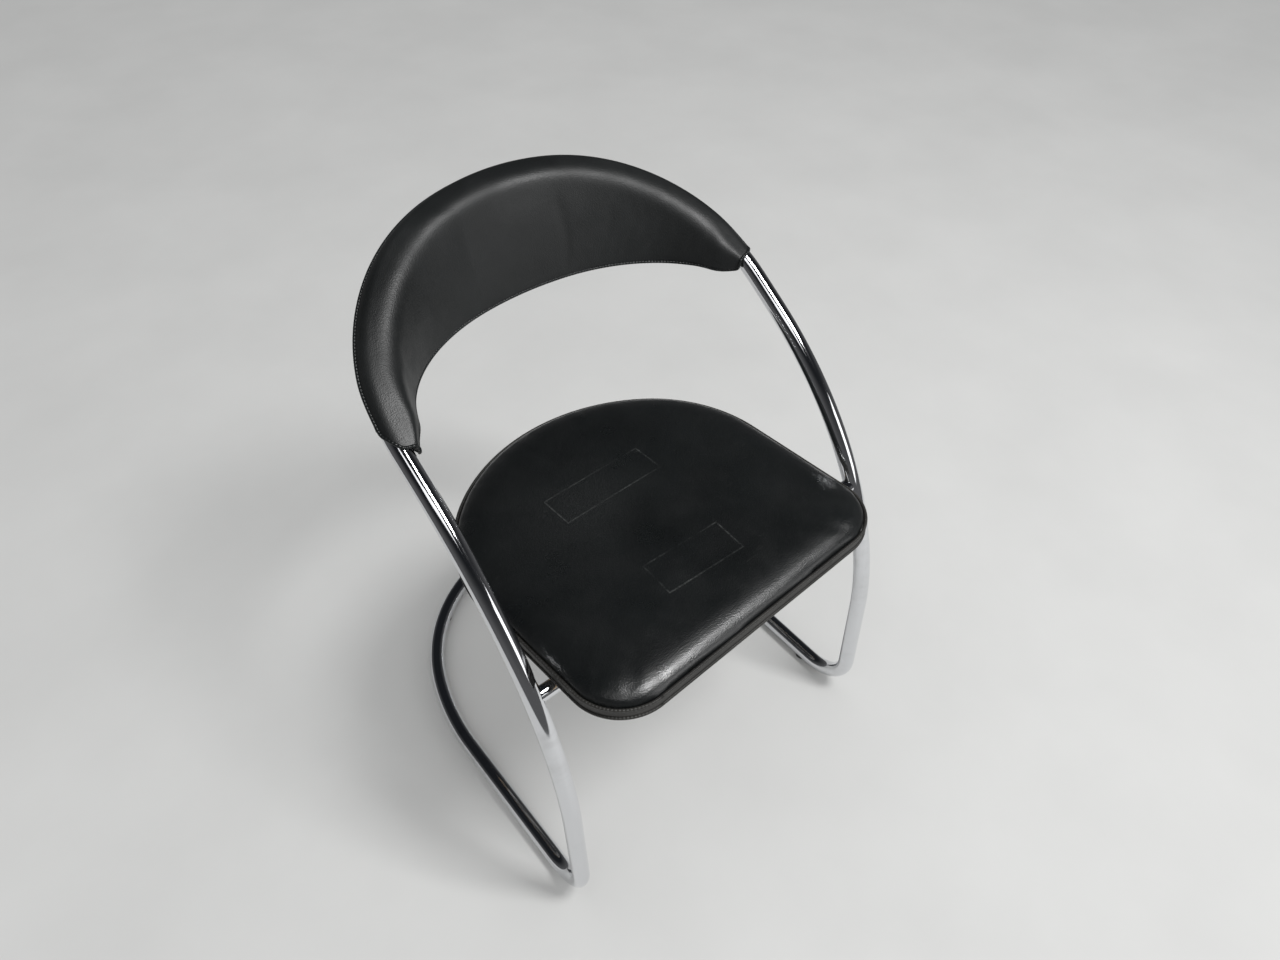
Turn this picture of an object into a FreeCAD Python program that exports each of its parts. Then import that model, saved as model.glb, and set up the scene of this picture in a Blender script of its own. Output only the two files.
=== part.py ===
import FreeCAD, Part

import math
import os

import Sketcher
from FreeCAD import Placement, Rotation, Vector

# Cantilever chair of bent steel tube with a padded seat and a padded hoop backrest.
# Millimetres. +Z is up, the chair faces -Y, and the floor is z = 0.
# Every length and angle below is one cell of the sheet; angles are in degrees.
DIMENSIONS = {
    "tube_od": (24, "outer diameter of the frame tube"),
    "tube_bore": (20, "bore of the frame tube"),
    "half_span": (268, "half the distance between the side tubes' axes"),
    "glide_height": (3, "floor to the underside of the rails"),
    "rail_joint_y": (-49.5, "joint between base tube and side tube"),
    "rail_front_y": (-220.9, "where the floor bend starts"),
    "floor_bend_radius": (64, "bend from the rail into the upright"),
    "upright_angle": (85.6, "angle of the upright above the floor"),
    "upright_run": (138, "straight part of the upright"),
    "side_arc_radius": (530, "long arc of the side tube"),
    "hoop_angle": (32.2, "angle of the hoop's plane above the floor"),
    "hoop_run": (46, "straight end of the side tube in the hoop's plane"),
    "hoop_side_radius": (250, "bends at the sides of the hoop"),
    "hoop_rear_radius": (337, "bend at the back of the hoop"),
    "base_bend_y": (0.5, "where the base tube starts to curve in"),
    "base_side_radius": (390, "gentle bends of the base tube"),
    "base_rear_radius": (260, "bend at the back of the base tube"),
    "spigot_od": (19.4, "outer diameter of the joining spigots"),
    "spigot_bore": (15, "bore of the joining spigots"),
    "spigot_reach": (30, "reach of a spigot into each tube"),
    "glide_od": (18, "diameter of a floor glide"),
    "glide_lip": (4, "how far a glide's lip rises beside the tube"),
    "glide_pin_od": (5.6, "pin of a glide"),
    "glide_pin_hole": (6, "hole for the pin in the tube"),
    "glide_pin_top": (12, "top of the pin above the floor"),
    "front_glide_y": (-201.5, "front glides"),
    "rear_glide_angle": (40, "rear glides, from straight back"),
    "support_od": (20, "outer diameter of the seat support tube"),
    "support_bore": (16, "bore of the seat support tube"),
    "support_y": (-220, "axis of the seat support's ends, along the seat's plane"),
    "support_stub": (60, "from the side tube's axis to the support's bend"),
    "support_bend_radius": (40, "bends behind the support's ends"),
    "fit_gap": (0.1, "gap between round faces that touch"),
    "strap_width": (30, "width of a seat strap"),
    "strap_thick": (4, "thickness of a seat strap"),
    "front_strap_y": (-165, "front strap"),
    "front_strap_length": (360, "length of the front strap"),
    "rear_strap_y": (15, "rear strap"),
    "rear_strap_length": (270, "length of the rear strap"),
    "front_screw_x": (120, "front seat screws from the middle"),
    "rear_screw_x": (80, "rear seat screws from the middle"),
    "screw_od": (6, "seat screw"),
    "screw_length": (16, "seat screw under its head"),
    "screw_head_od": (11, "seat screw head"),
    "screw_head_height": (3.3, "seat screw head"),
    "screw_key": (4, "hexagon key of a seat screw, across flats"),
    "screw_hole": (6.6, "hole in a strap and in the dust cover"),
    "washer_od": (14, "seat washer"),
    "washer_thick": (1.2, "seat washer"),
    "t_nut_flange_od": (19, "flange of a T-nut"),
    "t_nut_flange_thick": (1.4, "flange of a T-nut"),
    "t_nut_barrel_od": (7.8, "barrel of a T-nut"),
    "t_nut_barrel_length": (9, "barrel of a T-nut"),
    "t_nut_bore": (6.1, "bore of a T-nut"),
    "t_nut_hole": (8, "hole for a T-nut in the board"),
    "seat_origin_y": (10.5, "origin of the seat's plane"),
    "seat_height": (438.6, "top of the straps above the floor, at that origin"),
    "seat_tilt": (3, "fall of the seat towards the back"),
    "seat_turn": (2.8, "the seat sits a little turned on its straps"),
    "seat_shift_x": (-18, "and a little towards the sitter's right"),
    "seat_half_width": (233, "half the width of the seat"),
    "seat_front_y": (-318, "front edge of the seat"),
    "seat_round_y": (-83, "where the seat's round back starts"),
    "seat_side_radius": (195, "sides of the round back"),
    "seat_rear_radius": (255, "middle of the round back"),
    "seat_corner_radius": (68, "front corners"),
    "dust_cover_thick": (0.8, "dust cover under the board"),
    "dust_cover_inset": (9, "dust cover inside the seat's outline"),
    "board_thick": (12, "seat board"),
    "board_inset": (3, "board and foam inside the seat's outline"),
    "foam_thick": (22, "seat foam"),
    "foam_edge_radius": (13, "rounding of the foam's upper edge"),
    "leather_thick": (1.4, "leather panels"),
    "band_height": (17, "edge band of the seat"),
    "skin_gap": (0.3, "gap between a skin and what it covers"),
    "welt_od": (4, "seat and back welts"),
    "staple_length": (10, "dust cover staple"),
    "staple_wire": (0.6, "dust cover staple"),
    "staple_inset": (20, "row of staples inside the seat's outline"),
    "staple_pitch": (62, "distance between staples"),
    "back_low_z": (665.5, "lower edge of the backrest's leather, above the welt"),
    "back_end": (64, "end of the backrest's leather from the start of the hoop"),
    "back_slide": (12, "the leather sits this far round to the sitter's right"),
    "padding_start": (86, "end of the foam sleeve from the start of the hoop"),
    "roll_radius": (16.5, "leather surface around the hoop tube"),
    "padding_radius": (14.5, "foam sleeve around the hoop tube"),
    "rim_reach": (29, "inner rim of the roll from the tube's axis"),
    "rim_rise": (15, "inner rim of the roll above the tube's axis"),
    "face_reach": (32, "inner face from the axis, at the axis' height"),
    "face_lean": (0.245, "reach that the inner face gains for each mm down"),
    "edge_thick": (9, "thickness of the backrest at its lower edge"),
    "tip_length": (20, "length of the rounded ends of the backrest"),
    "tip_radius": (13.9, "leather surface around the tube at the very ends"),
    "tip_reach": (19, "rim and inner face from the tube's axis at the very ends"),
    "tip_rim_rise": (13, "inner rim above the axis at the very ends"),
    "tip_edge_drop": (3, "lower edge below the axis at the very ends"),
    "tip_edge_thick": (5, "thickness of the lower edge at the very ends"),
    "shell_thick": (3, "back shell"),
    "foam_start": (45, "end of the back foam from the end of the backrest"),
    "shell_start": (70, "end of the back shell from the end of the backrest"),
    "tab_width": (26, "hoop tab, along the tube"),
    "tab_length": (30, "hoop tab, from the tube's axis"),
    "tab_thick": (3, "hoop tab"),
    "tab_spacing": (190, "outer hoop tabs from the middle, along the tube"),
    "tab_screw_od": (4, "screw of a hoop tab"),
    "tab_screw_head_od": (7.5, "screw of a hoop tab"),
    "tab_screw_head_height": (2.2, "screw of a hoop tab"),
    "tab_screw_length": (6, "screw of a hoop tab, under its head"),
    "tab_screw_reach": (23, "screw of a hoop tab from the tube's axis"),
}

doc = FreeCAD.newDocument("CantileverChair")
sheet = doc.addObject("Spreadsheet::Sheet", "Dims")
for row, (alias, (value, note)) in enumerate(DIMENSIONS.items(), start=1):
    sheet.set(f"A{row}", alias)
    sheet.set(f"B{row}", str(value))
    sheet.set(f"C{row}", note)
    sheet.setAlias(f"B{row}", alias)
doc.recompute()

X_AXIS = Vector(1, 0, 0)
Y_AXIS = Vector(0, 1, 0)
Z_AXIS = Vector(0, 0, 1)
# Sketcher's numbers for the sketch origin, the vertical axis and the ends of an edge
ORIGIN = (-1, 1)
VERTICAL_AXIS = -2
START = 1
END = 2
CENTRE = 3

parts = {}


def dim(alias):
    """Value of one cell of the sheet."""
    return float(getattr(sheet, alias))


def bind(thing, expressions):
    """Bind properties of a document object to expressions on the sheet."""
    for name, expression in expressions.items():
        thing.setExpression(name, expression)
    return thing


# Sketches


def origin_plane(body, role):
    """Origin plane of a body, such as XY_Plane."""
    for feature in body.Origin.OriginFeatures:
        if feature.Role == role:
            return feature
    raise ValueError(f"{body.Label} has no {role}")


def new_sketch(body, name, role, offset=None, expressions=None):
    """Sketch on one of the body's origin planes."""
    sketch = body.newObject("Sketcher::SketchObject", f"{body.Name}_{name}")
    sketch.AttachmentSupport = (origin_plane(body, role), [""])
    sketch.MapMode = "FlatFace"
    if offset is not None:
        sketch.AttachmentOffset = offset
    return bind(sketch, expressions or {})


def constrain(sketch, name, expression, *arguments):
    """Add a dimension with a name and bind it to the sheet."""
    index = sketch.addConstraint(Sketcher.Constraint(*arguments))
    sketch.renameConstraint(index, name)
    sketch.setExpression(f"Constraints.{name}", expression)
    return index


def tangent(sketch, first, first_end, second, second_end):
    """Join two edges smoothly, end to end."""
    sketch.addConstraint(Sketcher.Constraint("Tangent", first, first_end, second, second_end))


def add_line(sketch, start, end):
    """Add a line to a sketch."""
    return sketch.addGeometry(Part.LineSegment(Vector(*start, 0), Vector(*end, 0)))


def add_arc(sketch, centre, radius, start_angle, end_angle):
    """Add an arc that runs anticlockwise between two angles in degrees."""
    circle = Part.Circle(Vector(*centre, 0), Z_AXIS, radius)
    arc = Part.ArcOfCircle(circle, math.radians(start_angle), math.radians(end_angle))
    return sketch.addGeometry(arc)


def add_circle(sketch, name, centre, expression, centre_expressions=("0", "0")):
    """Add a circle whose diameter and centre are bound to the sheet."""
    index = sketch.addGeometry(Part.Circle(Vector(*centre, 0), Z_AXIS, 1.0))
    constrain(sketch, name, expression, "Diameter", index, 2.0)
    if centre == (0, 0):
        sketch.addConstraint(Sketcher.Constraint("Coincident", index, CENTRE, *ORIGIN))
        return index
    for letter, value, text in zip("XY", centre, centre_expressions):
        constrain(sketch, f"{name}_{letter}", text, f"Distance{letter}", *ORIGIN, index, CENTRE, value)
    return index


def hoop_sweep(side_radius, rear_radius):
    """Sweep in degrees of each side bend of a hoop with one rear bend."""
    cosine = (dim("half_span") - side_radius) / (rear_radius - side_radius)
    return math.degrees(math.acos(cosine))


def hoop_centre(side_radius, rear_radius):
    """Distance of the rear bend's centre behind the start of the side bends."""
    sweep = math.radians(hoop_sweep(side_radius, rear_radius))
    return (side_radius - rear_radius) * math.sin(sweep)


def hoop_spine(sketch, start, bend, side, rear):
    """Path of a hoop: straight end, side bend, rear bend, side bend, straight end.

    start, bend, side and rear are aliases of the sheet: where the tube starts, where its
    bends start, and the two radii. start equal to bend leaves out the straight ends.
    """
    span = dim("half_span")
    side_radius = dim(side)
    rear_radius = dim(rear)
    bend_y = dim(bend)
    sweep = hoop_sweep(side_radius, rear_radius)
    rear_y = bend_y + hoop_centre(side_radius, rear_radius)
    left = add_arc(sketch, (side_radius - span, bend_y), side_radius, 180 - sweep, 180)
    back = add_arc(sketch, (0, rear_y), rear_radius, sweep, 180 - sweep)
    right = add_arc(sketch, (span - side_radius, bend_y), side_radius, 0, sweep)
    tangent(sketch, left, START, back, END)
    tangent(sketch, back, START, right, END)
    constrain(sketch, "side_radius", f"Dims.{side}", "Radius", left, side_radius)
    constrain(sketch, "rear_radius", f"Dims.{rear}", "Radius", back, rear_radius)
    sketch.addConstraint(Sketcher.Constraint("Equal", left, right))
    sketch.addConstraint(Sketcher.Constraint("PointOnObject", back, CENTRE, VERTICAL_AXIS))
    constrain(sketch, "bend_x", "-Dims.half_span", "DistanceX", *ORIGIN, left, END, -span)
    constrain(sketch, "bend_y", f"Dims.{bend}", "DistanceY", *ORIGIN, left, END, bend_y)
    sketch.addConstraint(Sketcher.Constraint("Symmetric", left, END, right, START, VERTICAL_AXIS))
    if start == bend:
        return 3
    start_y = dim(start)
    for arc, arc_end, x in ((left, END, -span), (right, START, span)):
        run = add_line(sketch, (x, start_y), (x, bend_y))
        tangent(sketch, run, END, arc, arc_end)
        constrain(sketch, f"start_{run}", f"Dims.{start}", "DistanceY", *ORIGIN, run, START, start_y)
    return 5


# Bodies


def new_body(label, placement=None, expressions=None):
    """PartDesign body for one piece."""
    body = doc.addObject("PartDesign::Body", label)
    body.Label = label
    if placement is not None:
        body.Placement = placement
    return bind(body, expressions or {})


def pipe(body, spine, edge_count, profile):
    """Sweep a profile sketch along a spine sketch."""
    feature = body.newObject("PartDesign::AdditivePipe", f"{body.Name}_pipe")
    feature.Profile = profile
    feature.Spine = (spine, [f"Edge{number}" for number in range(1, edge_count + 1)])
    body.Tip = feature
    return feature


def tube_profile(body, role, offset, expressions, outer, bore, centre=(0, 0), texts=("0", "0")):
    """Ring-shaped section of a tube at the start of its path."""
    profile = new_sketch(body, "section", role, offset, expressions)
    add_circle(profile, "outer", centre, f"Dims.{outer}", texts)
    if bore:
        add_circle(profile, "bore", centre, f"Dims.{bore}", texts)
    return profile


def pad(body, sketch, expression):
    """Pad a sketch by a length from the sheet."""
    feature = body.newObject("PartDesign::Pad", f"{body.Name}_pad")
    feature.Profile = sketch
    body.Tip = feature
    return bind(feature, {"Length": expression})


def keep(node, thing):
    """Name the document object that is one piece of the chair."""
    thing.Label = node
    parts[node] = thing
    return thing


def primitive(kind, name, expressions, placement=None):
    """Part primitive bound to the sheet."""
    solid = doc.addObject(f"Part::{kind}", name)
    if placement is not None:
        solid.Placement = placement
    return bind(solid, expressions)


def boolean(kind, name, base, tool):
    """Part::Cut, Part::Fuse or Part::Common of two objects."""
    result = doc.addObject(f"Part::{kind}", name)
    result.Base = base
    result.Tool = tool
    return result


def compound(name, members):
    """Group of separate solids."""
    group = doc.addObject("Part::Compound", name)
    group.Links = members
    return group


# Frame

AXIS_Z = "Dims.glide_height + Dims.tube_od / 2"


def base_tube():
    """Floor rails and the rounded rear of the floor loop."""
    body = new_body("base_tube_bent", None, {"Placement.Base.z": AXIS_Z})
    spine = new_sketch(body, "path", "XY_Plane")
    edges = hoop_spine(spine, "rail_joint_y", "base_bend_y", "base_side_radius", "base_rear_radius")
    profile = tube_profile(
        body, "XZ_Plane", Placement(Vector(0, 0, -dim("rail_joint_y")), Rotation()),
        {"AttachmentOffset.Base.z": "-Dims.rail_joint_y"},
        "tube_od", "tube_bore", (-dim("half_span"), 0), ("-Dims.half_span", "0"))
    pipe(body, spine, edges, profile)
    holes = [pin_hole(name, place) for name, place in glide_places().items() if "rear" in name]
    both = boolean("Fuse", "rear_pin_holes", *holes)
    keep("base_tube", boolean("Cut", "base_tube", body, both))


def side_points():
    """Joints of the side tube's path as (y, z) above the rail's axis."""
    upright = math.radians(dim("upright_angle"))
    hoop = math.radians(dim("hoop_angle"))
    bend = dim("floor_bend_radius")
    arc = dim("side_arc_radius")
    bend_centre = (dim("rail_front_y"), bend)
    foot = (bend_centre[0] - bend * math.sin(upright), bend_centre[1] + bend * math.cos(upright))
    run = dim("upright_run")
    shoulder = (foot[0] + run * math.cos(upright), foot[1] + run * math.sin(upright))
    arc_centre = (shoulder[0] + arc * math.sin(upright), shoulder[1] - arc * math.cos(upright))
    hoop_start = (arc_centre[0] - arc * math.sin(hoop), arc_centre[1] + arc * math.cos(hoop))
    hoop_run = dim("hoop_run")
    hoop_joint = (hoop_start[0] + hoop_run * math.cos(hoop), hoop_start[1] + hoop_run * math.sin(hoop))
    return bend_centre, foot, shoulder, arc_centre, hoop_start, hoop_joint


def side_spine(sketch):
    """Path of a side tube: rail, floor bend, upright, long arc and the run into the hoop."""
    bend_centre, foot, shoulder, arc_centre, hoop_start, hoop_joint = side_points()
    upright = dim("upright_angle")
    hoop = dim("hoop_angle")
    rail = add_line(sketch, (dim("rail_joint_y"), 0), (dim("rail_front_y"), 0))
    floor_bend = add_arc(sketch, bend_centre, dim("floor_bend_radius"), 90 + upright, 270)
    post = add_line(sketch, foot, shoulder)
    arc = add_arc(sketch, arc_centre, dim("side_arc_radius"), 90 + hoop, 90 + upright)
    run = add_line(sketch, hoop_start, hoop_joint)
    tangent(sketch, rail, END, floor_bend, END)
    tangent(sketch, floor_bend, START, post, START)
    tangent(sketch, post, END, arc, END)
    tangent(sketch, arc, START, run, START)
    sketch.addConstraint(Sketcher.Constraint("Horizontal", rail))
    constrain(sketch, "joint_y", "Dims.rail_joint_y", "DistanceX", *ORIGIN, rail, START, dim("rail_joint_y"))
    sketch.addConstraint(Sketcher.Constraint("PointOnObject", rail, START, -1))
    constrain(sketch, "front_y", "Dims.rail_front_y", "DistanceX", *ORIGIN, rail, END, dim("rail_front_y"))
    constrain(sketch, "floor_bend", "Dims.floor_bend_radius", "Radius", floor_bend, dim("floor_bend_radius"))
    constrain(sketch, "upright_run", "Dims.upright_run", "Distance", post, dim("upright_run"))
    constrain(sketch, "upright_angle", "Dims.upright_angle * 1 deg", "Angle", post, math.radians(upright))
    constrain(sketch, "arc_radius", "Dims.side_arc_radius", "Radius", arc, dim("side_arc_radius"))
    constrain(sketch, "hoop_angle", "Dims.hoop_angle * 1 deg", "Angle", run, math.radians(hoop))
    constrain(sketch, "hoop_run", "Dims.hoop_run", "Distance", run, dim("hoop_run"))
    return 5


def side_body(label, sign, bore):
    """Side tube as a body; without a bore it is the shape that copes the seat support."""
    body = new_body(label, None, {"Placement.Base.x": f"{sign} * Dims.half_span", "Placement.Base.z": AXIS_Z})
    spine = new_sketch(body, "path", "YZ_Plane")
    edges = side_spine(spine)
    offset = Placement(Vector(0, 0, -dim("rail_joint_y")), Rotation())
    binding = {"AttachmentOffset.Base.z": "-Dims.rail_joint_y"}
    outer = "tube_od" if bore else "tube_od + 2 * Dims.fit_gap"
    profile = tube_profile(body, "XZ_Plane", offset, binding, outer, "tube_bore" if bore else None)
    pipe(body, spine, edges, profile)
    return body


def side_tubes():
    """Left and right side tubes. Left and right are the sitter's."""
    for side, sign in (("right", -1), ("left", 1)):
        body = side_body(f"side_tube_{side}_bent", sign, True)
        hole = pin_hole(f"front_{side}", glide_places()[f"front_{side}"])
        keep(f"side_tube_{side}", boolean("Cut", f"side_tube_{side}", body, hole))


HOOP_Y = ("Dims.rail_front_y - Dims.floor_bend_radius * sin(Dims.upright_angle * 1 deg)"
          " + Dims.upright_run * cos(Dims.upright_angle * 1 deg)"
          " + Dims.side_arc_radius * (sin(Dims.upright_angle * 1 deg) - sin(Dims.hoop_angle * 1 deg))")
HOOP_Z = (AXIS_Z + " + Dims.floor_bend_radius * (1 + cos(Dims.upright_angle * 1 deg))"
          " + Dims.upright_run * sin(Dims.upright_angle * 1 deg)"
          " + Dims.side_arc_radius * (cos(Dims.hoop_angle * 1 deg) - cos(Dims.upright_angle * 1 deg))")
HOOP_PLACE = {
    "Placement.Base.y": HOOP_Y,
    "Placement.Base.z": HOOP_Z,
    "Placement.Rotation.Angle": "Dims.hoop_angle",
}


def hoop_body(label):
    """Body whose XY plane is the hoop's plane, with y = 0 at the start of the hoop."""
    return new_body(label, Placement(Vector(), Rotation(X_AXIS, dim("hoop_angle"))), HOOP_PLACE)


def hoop_pipe(label, start, outer, bore):
    """Tube that follows the hoop."""
    body = hoop_body(label)
    spine = new_sketch(body, "path", "XY_Plane")
    edges = hoop_spine(spine, start, "hoop_run", "hoop_side_radius", "hoop_rear_radius")
    profile = tube_profile(
        body, "XZ_Plane", Placement(Vector(0, 0, -dim(start)), Rotation()),
        {"AttachmentOffset.Base.z": f"-Dims.{start}"},
        outer, bore, (-dim("half_span"), 0), ("-Dims.half_span", "0"))
    pipe(body, spine, edges, profile)
    return body


def rail_spigots():
    """Straight spigots inside the joints of the floor rails."""
    for side, sign in (("right", -1), ("left", 1)):
        body = new_body(f"rail_spigot_{side}", None,
                        {"Placement.Base.x": f"{sign} * Dims.half_span", "Placement.Base.z": AXIS_Z})
        reach = "Dims.rail_joint_y + Dims.spigot_reach"
        offset = Placement(Vector(0, 0, -dim("rail_joint_y") - dim("spigot_reach")), Rotation())
        profile = tube_profile(body, "XZ_Plane", offset, {"AttachmentOffset.Base.z": f"-({reach})"},
                               "spigot_od", "spigot_bore")
        pad(body, profile, "2 * Dims.spigot_reach")
        keep(f"rail_spigot_{side}", body)


def hoop_spigots():
    """Spigots inside the joints of the hoop, half straight and half bent."""
    radius = dim("hoop_side_radius")
    sweep = dim("spigot_reach") / radius
    joint = dim("hoop_run")
    start = joint - dim("spigot_reach")
    for side, sign in (("right", -1), ("left", 1)):
        body = hoop_body(f"hoop_spigot_{side}")
        spine = new_sketch(body, "path", "XY_Plane")
        x = sign * dim("half_span")
        run = add_line(spine, (x, start), (x, joint))
        centre = (x - sign * radius, joint)
        angles = (0, math.degrees(sweep)) if sign > 0 else (180 - math.degrees(sweep), 180)
        bend = add_arc(spine, centre, radius, *angles)
        tangent(spine, run, END, bend, START if sign > 0 else END)
        constrain(spine, "bend_radius", "Dims.hoop_side_radius", "Radius", bend, radius)
        constrain(spine, "reach", "Dims.spigot_reach", "Distance", run, dim("spigot_reach"))
        constrain(spine, "joint_x", f"{sign} * Dims.half_span", "DistanceX", *ORIGIN, run, END, x)
        constrain(spine, "joint_y", "Dims.hoop_run", "DistanceY", *ORIGIN, run, END, joint)
        spine.addConstraint(Sketcher.Constraint("Vertical", run))
        profile = tube_profile(
            body, "XZ_Plane", Placement(Vector(0, 0, -start), Rotation()),
            {"AttachmentOffset.Base.z": "Dims.spigot_reach - Dims.hoop_run"},
            "spigot_od", "spigot_bore", (x, 0), (f"{sign} * Dims.half_span", "0"))
        pipe(body, spine, 2, profile)
        keep(f"hoop_spigot_{side}", body)


# Floor glides


def glide_places():
    """Placement of each glide: on the floor under the tube, X across the tube."""
    span = dim("half_span")
    angle = math.radians(dim("rear_glide_angle"))
    radius = dim("base_rear_radius")
    centre_y = dim("base_bend_y") + hoop_centre(dim("base_side_radius"), radius)
    rear_x = radius * math.sin(angle)
    rear_y = centre_y + radius * math.cos(angle)
    across = 90 - dim("rear_glide_angle")
    front_y = dim("front_glide_y")
    return {
        "front_right": Placement(Vector(-span, front_y, 0), Rotation()),
        "front_left": Placement(Vector(span, front_y, 0), Rotation()),
        "rear_right": Placement(Vector(-rear_x, rear_y, 0), Rotation(Z_AXIS, -across)),
        "rear_left": Placement(Vector(rear_x, rear_y, 0), Rotation(Z_AXIS, across)),
    }


def pin_hole(name, place):
    """Drill that makes the hole for a glide's pin in the lower wall of the tube."""
    return primitive("Cylinder", f"pin_drill_{name}", {
        "Radius": "Dims.glide_pin_hole / 2", "Height": "Dims.glide_height + Dims.tube_od / 2"}, place)


def glides():
    """Saddle-shaped nylon glides with a pin that plugs into the tube."""
    for name, place in glide_places().items():
        disc = primitive("Cylinder", f"glide_disc_{name}", {
            "Radius": "Dims.glide_od / 2", "Height": "Dims.glide_height + Dims.glide_lip"}, place)
        length = 2 * dim("glide_od")
        lying = Placement(Vector(0, length / 2, 0), Rotation(X_AXIS, 90))
        tube = primitive("Cylinder", f"glide_seat_{name}", {
            "Radius": "Dims.tube_od / 2 + Dims.fit_gap", "Height": "2 * Dims.glide_od",
            "Placement.Base.z": AXIS_Z}, place.multiply(lying))
        saddle = boolean("Cut", f"glide_saddle_{name}", disc, tube)
        pin = primitive("Cylinder", f"glide_pin_{name}", {
            "Radius": "Dims.glide_pin_od / 2", "Height": "Dims.glide_pin_top"}, place)
        keep(f"glide_{name}", boolean("Fuse", f"glide_{name}", saddle, pin))


# Seat. Its bodies share one placement: z = 0 is the top of the straps, tilted to the back.

SEAT_PLACE = {
    "Placement.Base.y": "Dims.seat_origin_y",
    "Placement.Base.z": "Dims.seat_height",
    "Placement.Rotation.Angle": "-Dims.seat_tilt",
}
SUPPORT_DROP = "Dims.strap_thick + Dims.support_od / 2"


def seat_placement():
    """Placement of the seat's plane."""
    origin = Vector(0, dim("seat_origin_y"), dim("seat_height"))
    return Placement(origin, Rotation(X_AXIS, -dim("seat_tilt")))


def seat_body(label):
    """Body in the seat's plane."""
    return new_body(label, seat_placement(), SEAT_PLACE)


def seat_primitive(kind, name, expressions, local):
    """Part primitive placed in the seat's plane."""
    return primitive(kind, name, expressions, seat_placement().multiply(local))


def seat_support():
    """Bent tube under the seat, coped to the side tubes at its two front ends."""
    body = seat_body("seat_support_bent")
    drop = dim("strap_thick") + dim("support_od") / 2
    spine = new_sketch(body, "path", "XY_Plane", Placement(Vector(0, 0, -drop), Rotation()),
                       {"AttachmentOffset.Base.z": f"-({SUPPORT_DROP})"})
    span = dim("half_span")
    bend = dim("support_bend_radius")
    y = dim("support_y")
    bend_x = span - dim("support_stub")
    run_x = bend_x - bend
    rear_y = dim("seat_round_y")
    left_end = add_line(spine, (-span, y), (-bend_x, y))
    left_bend = add_arc(spine, (-bend_x, y + bend), bend, 270, 360)
    left_run = add_line(spine, (-run_x, y + bend), (-run_x, rear_y))
    rear = add_arc(spine, (0, rear_y), run_x, 0, 180)
    right_run = add_line(spine, (run_x, rear_y), (run_x, y + bend))
    right_bend = add_arc(spine, (bend_x, y + bend), bend, 180, 270)
    right_end = add_line(spine, (bend_x, y), (span, y))
    tangent(spine, left_end, END, left_bend, START)
    tangent(spine, left_bend, END, left_run, START)
    tangent(spine, left_run, END, rear, END)
    tangent(spine, rear, START, right_run, START)
    tangent(spine, right_run, END, right_bend, START)
    tangent(spine, right_bend, END, right_end, START)
    constrain(spine, "bend", "Dims.support_bend_radius", "Radius", left_bend, bend)
    spine.addConstraint(Sketcher.Constraint("Equal", left_bend, right_bend))
    spine.addConstraint(Sketcher.Constraint("Horizontal", left_end))
    spine.addConstraint(Sketcher.Constraint("PointOnObject", rear, CENTRE, VERTICAL_AXIS))
    constrain(spine, "end_x", "-Dims.half_span", "DistanceX", *ORIGIN, left_end, START, -span)
    constrain(spine, "end_y", "Dims.support_y", "DistanceY", *ORIGIN, left_end, START, y)
    constrain(spine, "stub", "Dims.support_stub", "Distance", left_end, dim("support_stub"))
    constrain(spine, "rear_y", "Dims.seat_round_y", "DistanceY", *ORIGIN, rear, CENTRE, rear_y)
    spine.addConstraint(Sketcher.Constraint("Symmetric", left_end, START, right_end, END, VERTICAL_AXIS))
    profile = tube_profile(
        body, "YZ_Plane", Placement(Vector(0, 0, -span), Rotation()),
        {"AttachmentOffset.Base.z": "-Dims.half_span"}, "support_od", "support_bore",
        (y, -drop), ("Dims.support_y", f"-({SUPPORT_DROP})"))
    pipe(body, spine, 7, profile)
    sides = [side_body(f"coping_{side}", sign, False) for side, sign in (("right", -1), ("left", 1))]
    coping = boolean("Fuse", "coping", *sides)
    keep("seat_support", boolean("Cut", "seat_support", body, coping))


def seat_screw_places():
    """Seat screws in the seat's plane: alias of x, sign of x, alias of y."""
    return [("front_screw_x", -1, "front_strap_y"), ("front_screw_x", 1, "front_strap_y"),
            ("rear_screw_x", -1, "rear_strap_y"), ("rear_screw_x", 1, "rear_strap_y")]


def screw_circles(sketch, diameter, only=None):
    """Circles at the seat screws."""
    for number, (x_alias, sign, y_alias) in enumerate(seat_screw_places()):
        if only is None or y_alias == only:
            add_circle(sketch, f"hole_{number}", (sign * dim(x_alias), dim(y_alias)), f"Dims.{diameter}",
                       (f"{sign} * Dims.{x_alias}", f"Dims.{y_alias}"))


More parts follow.
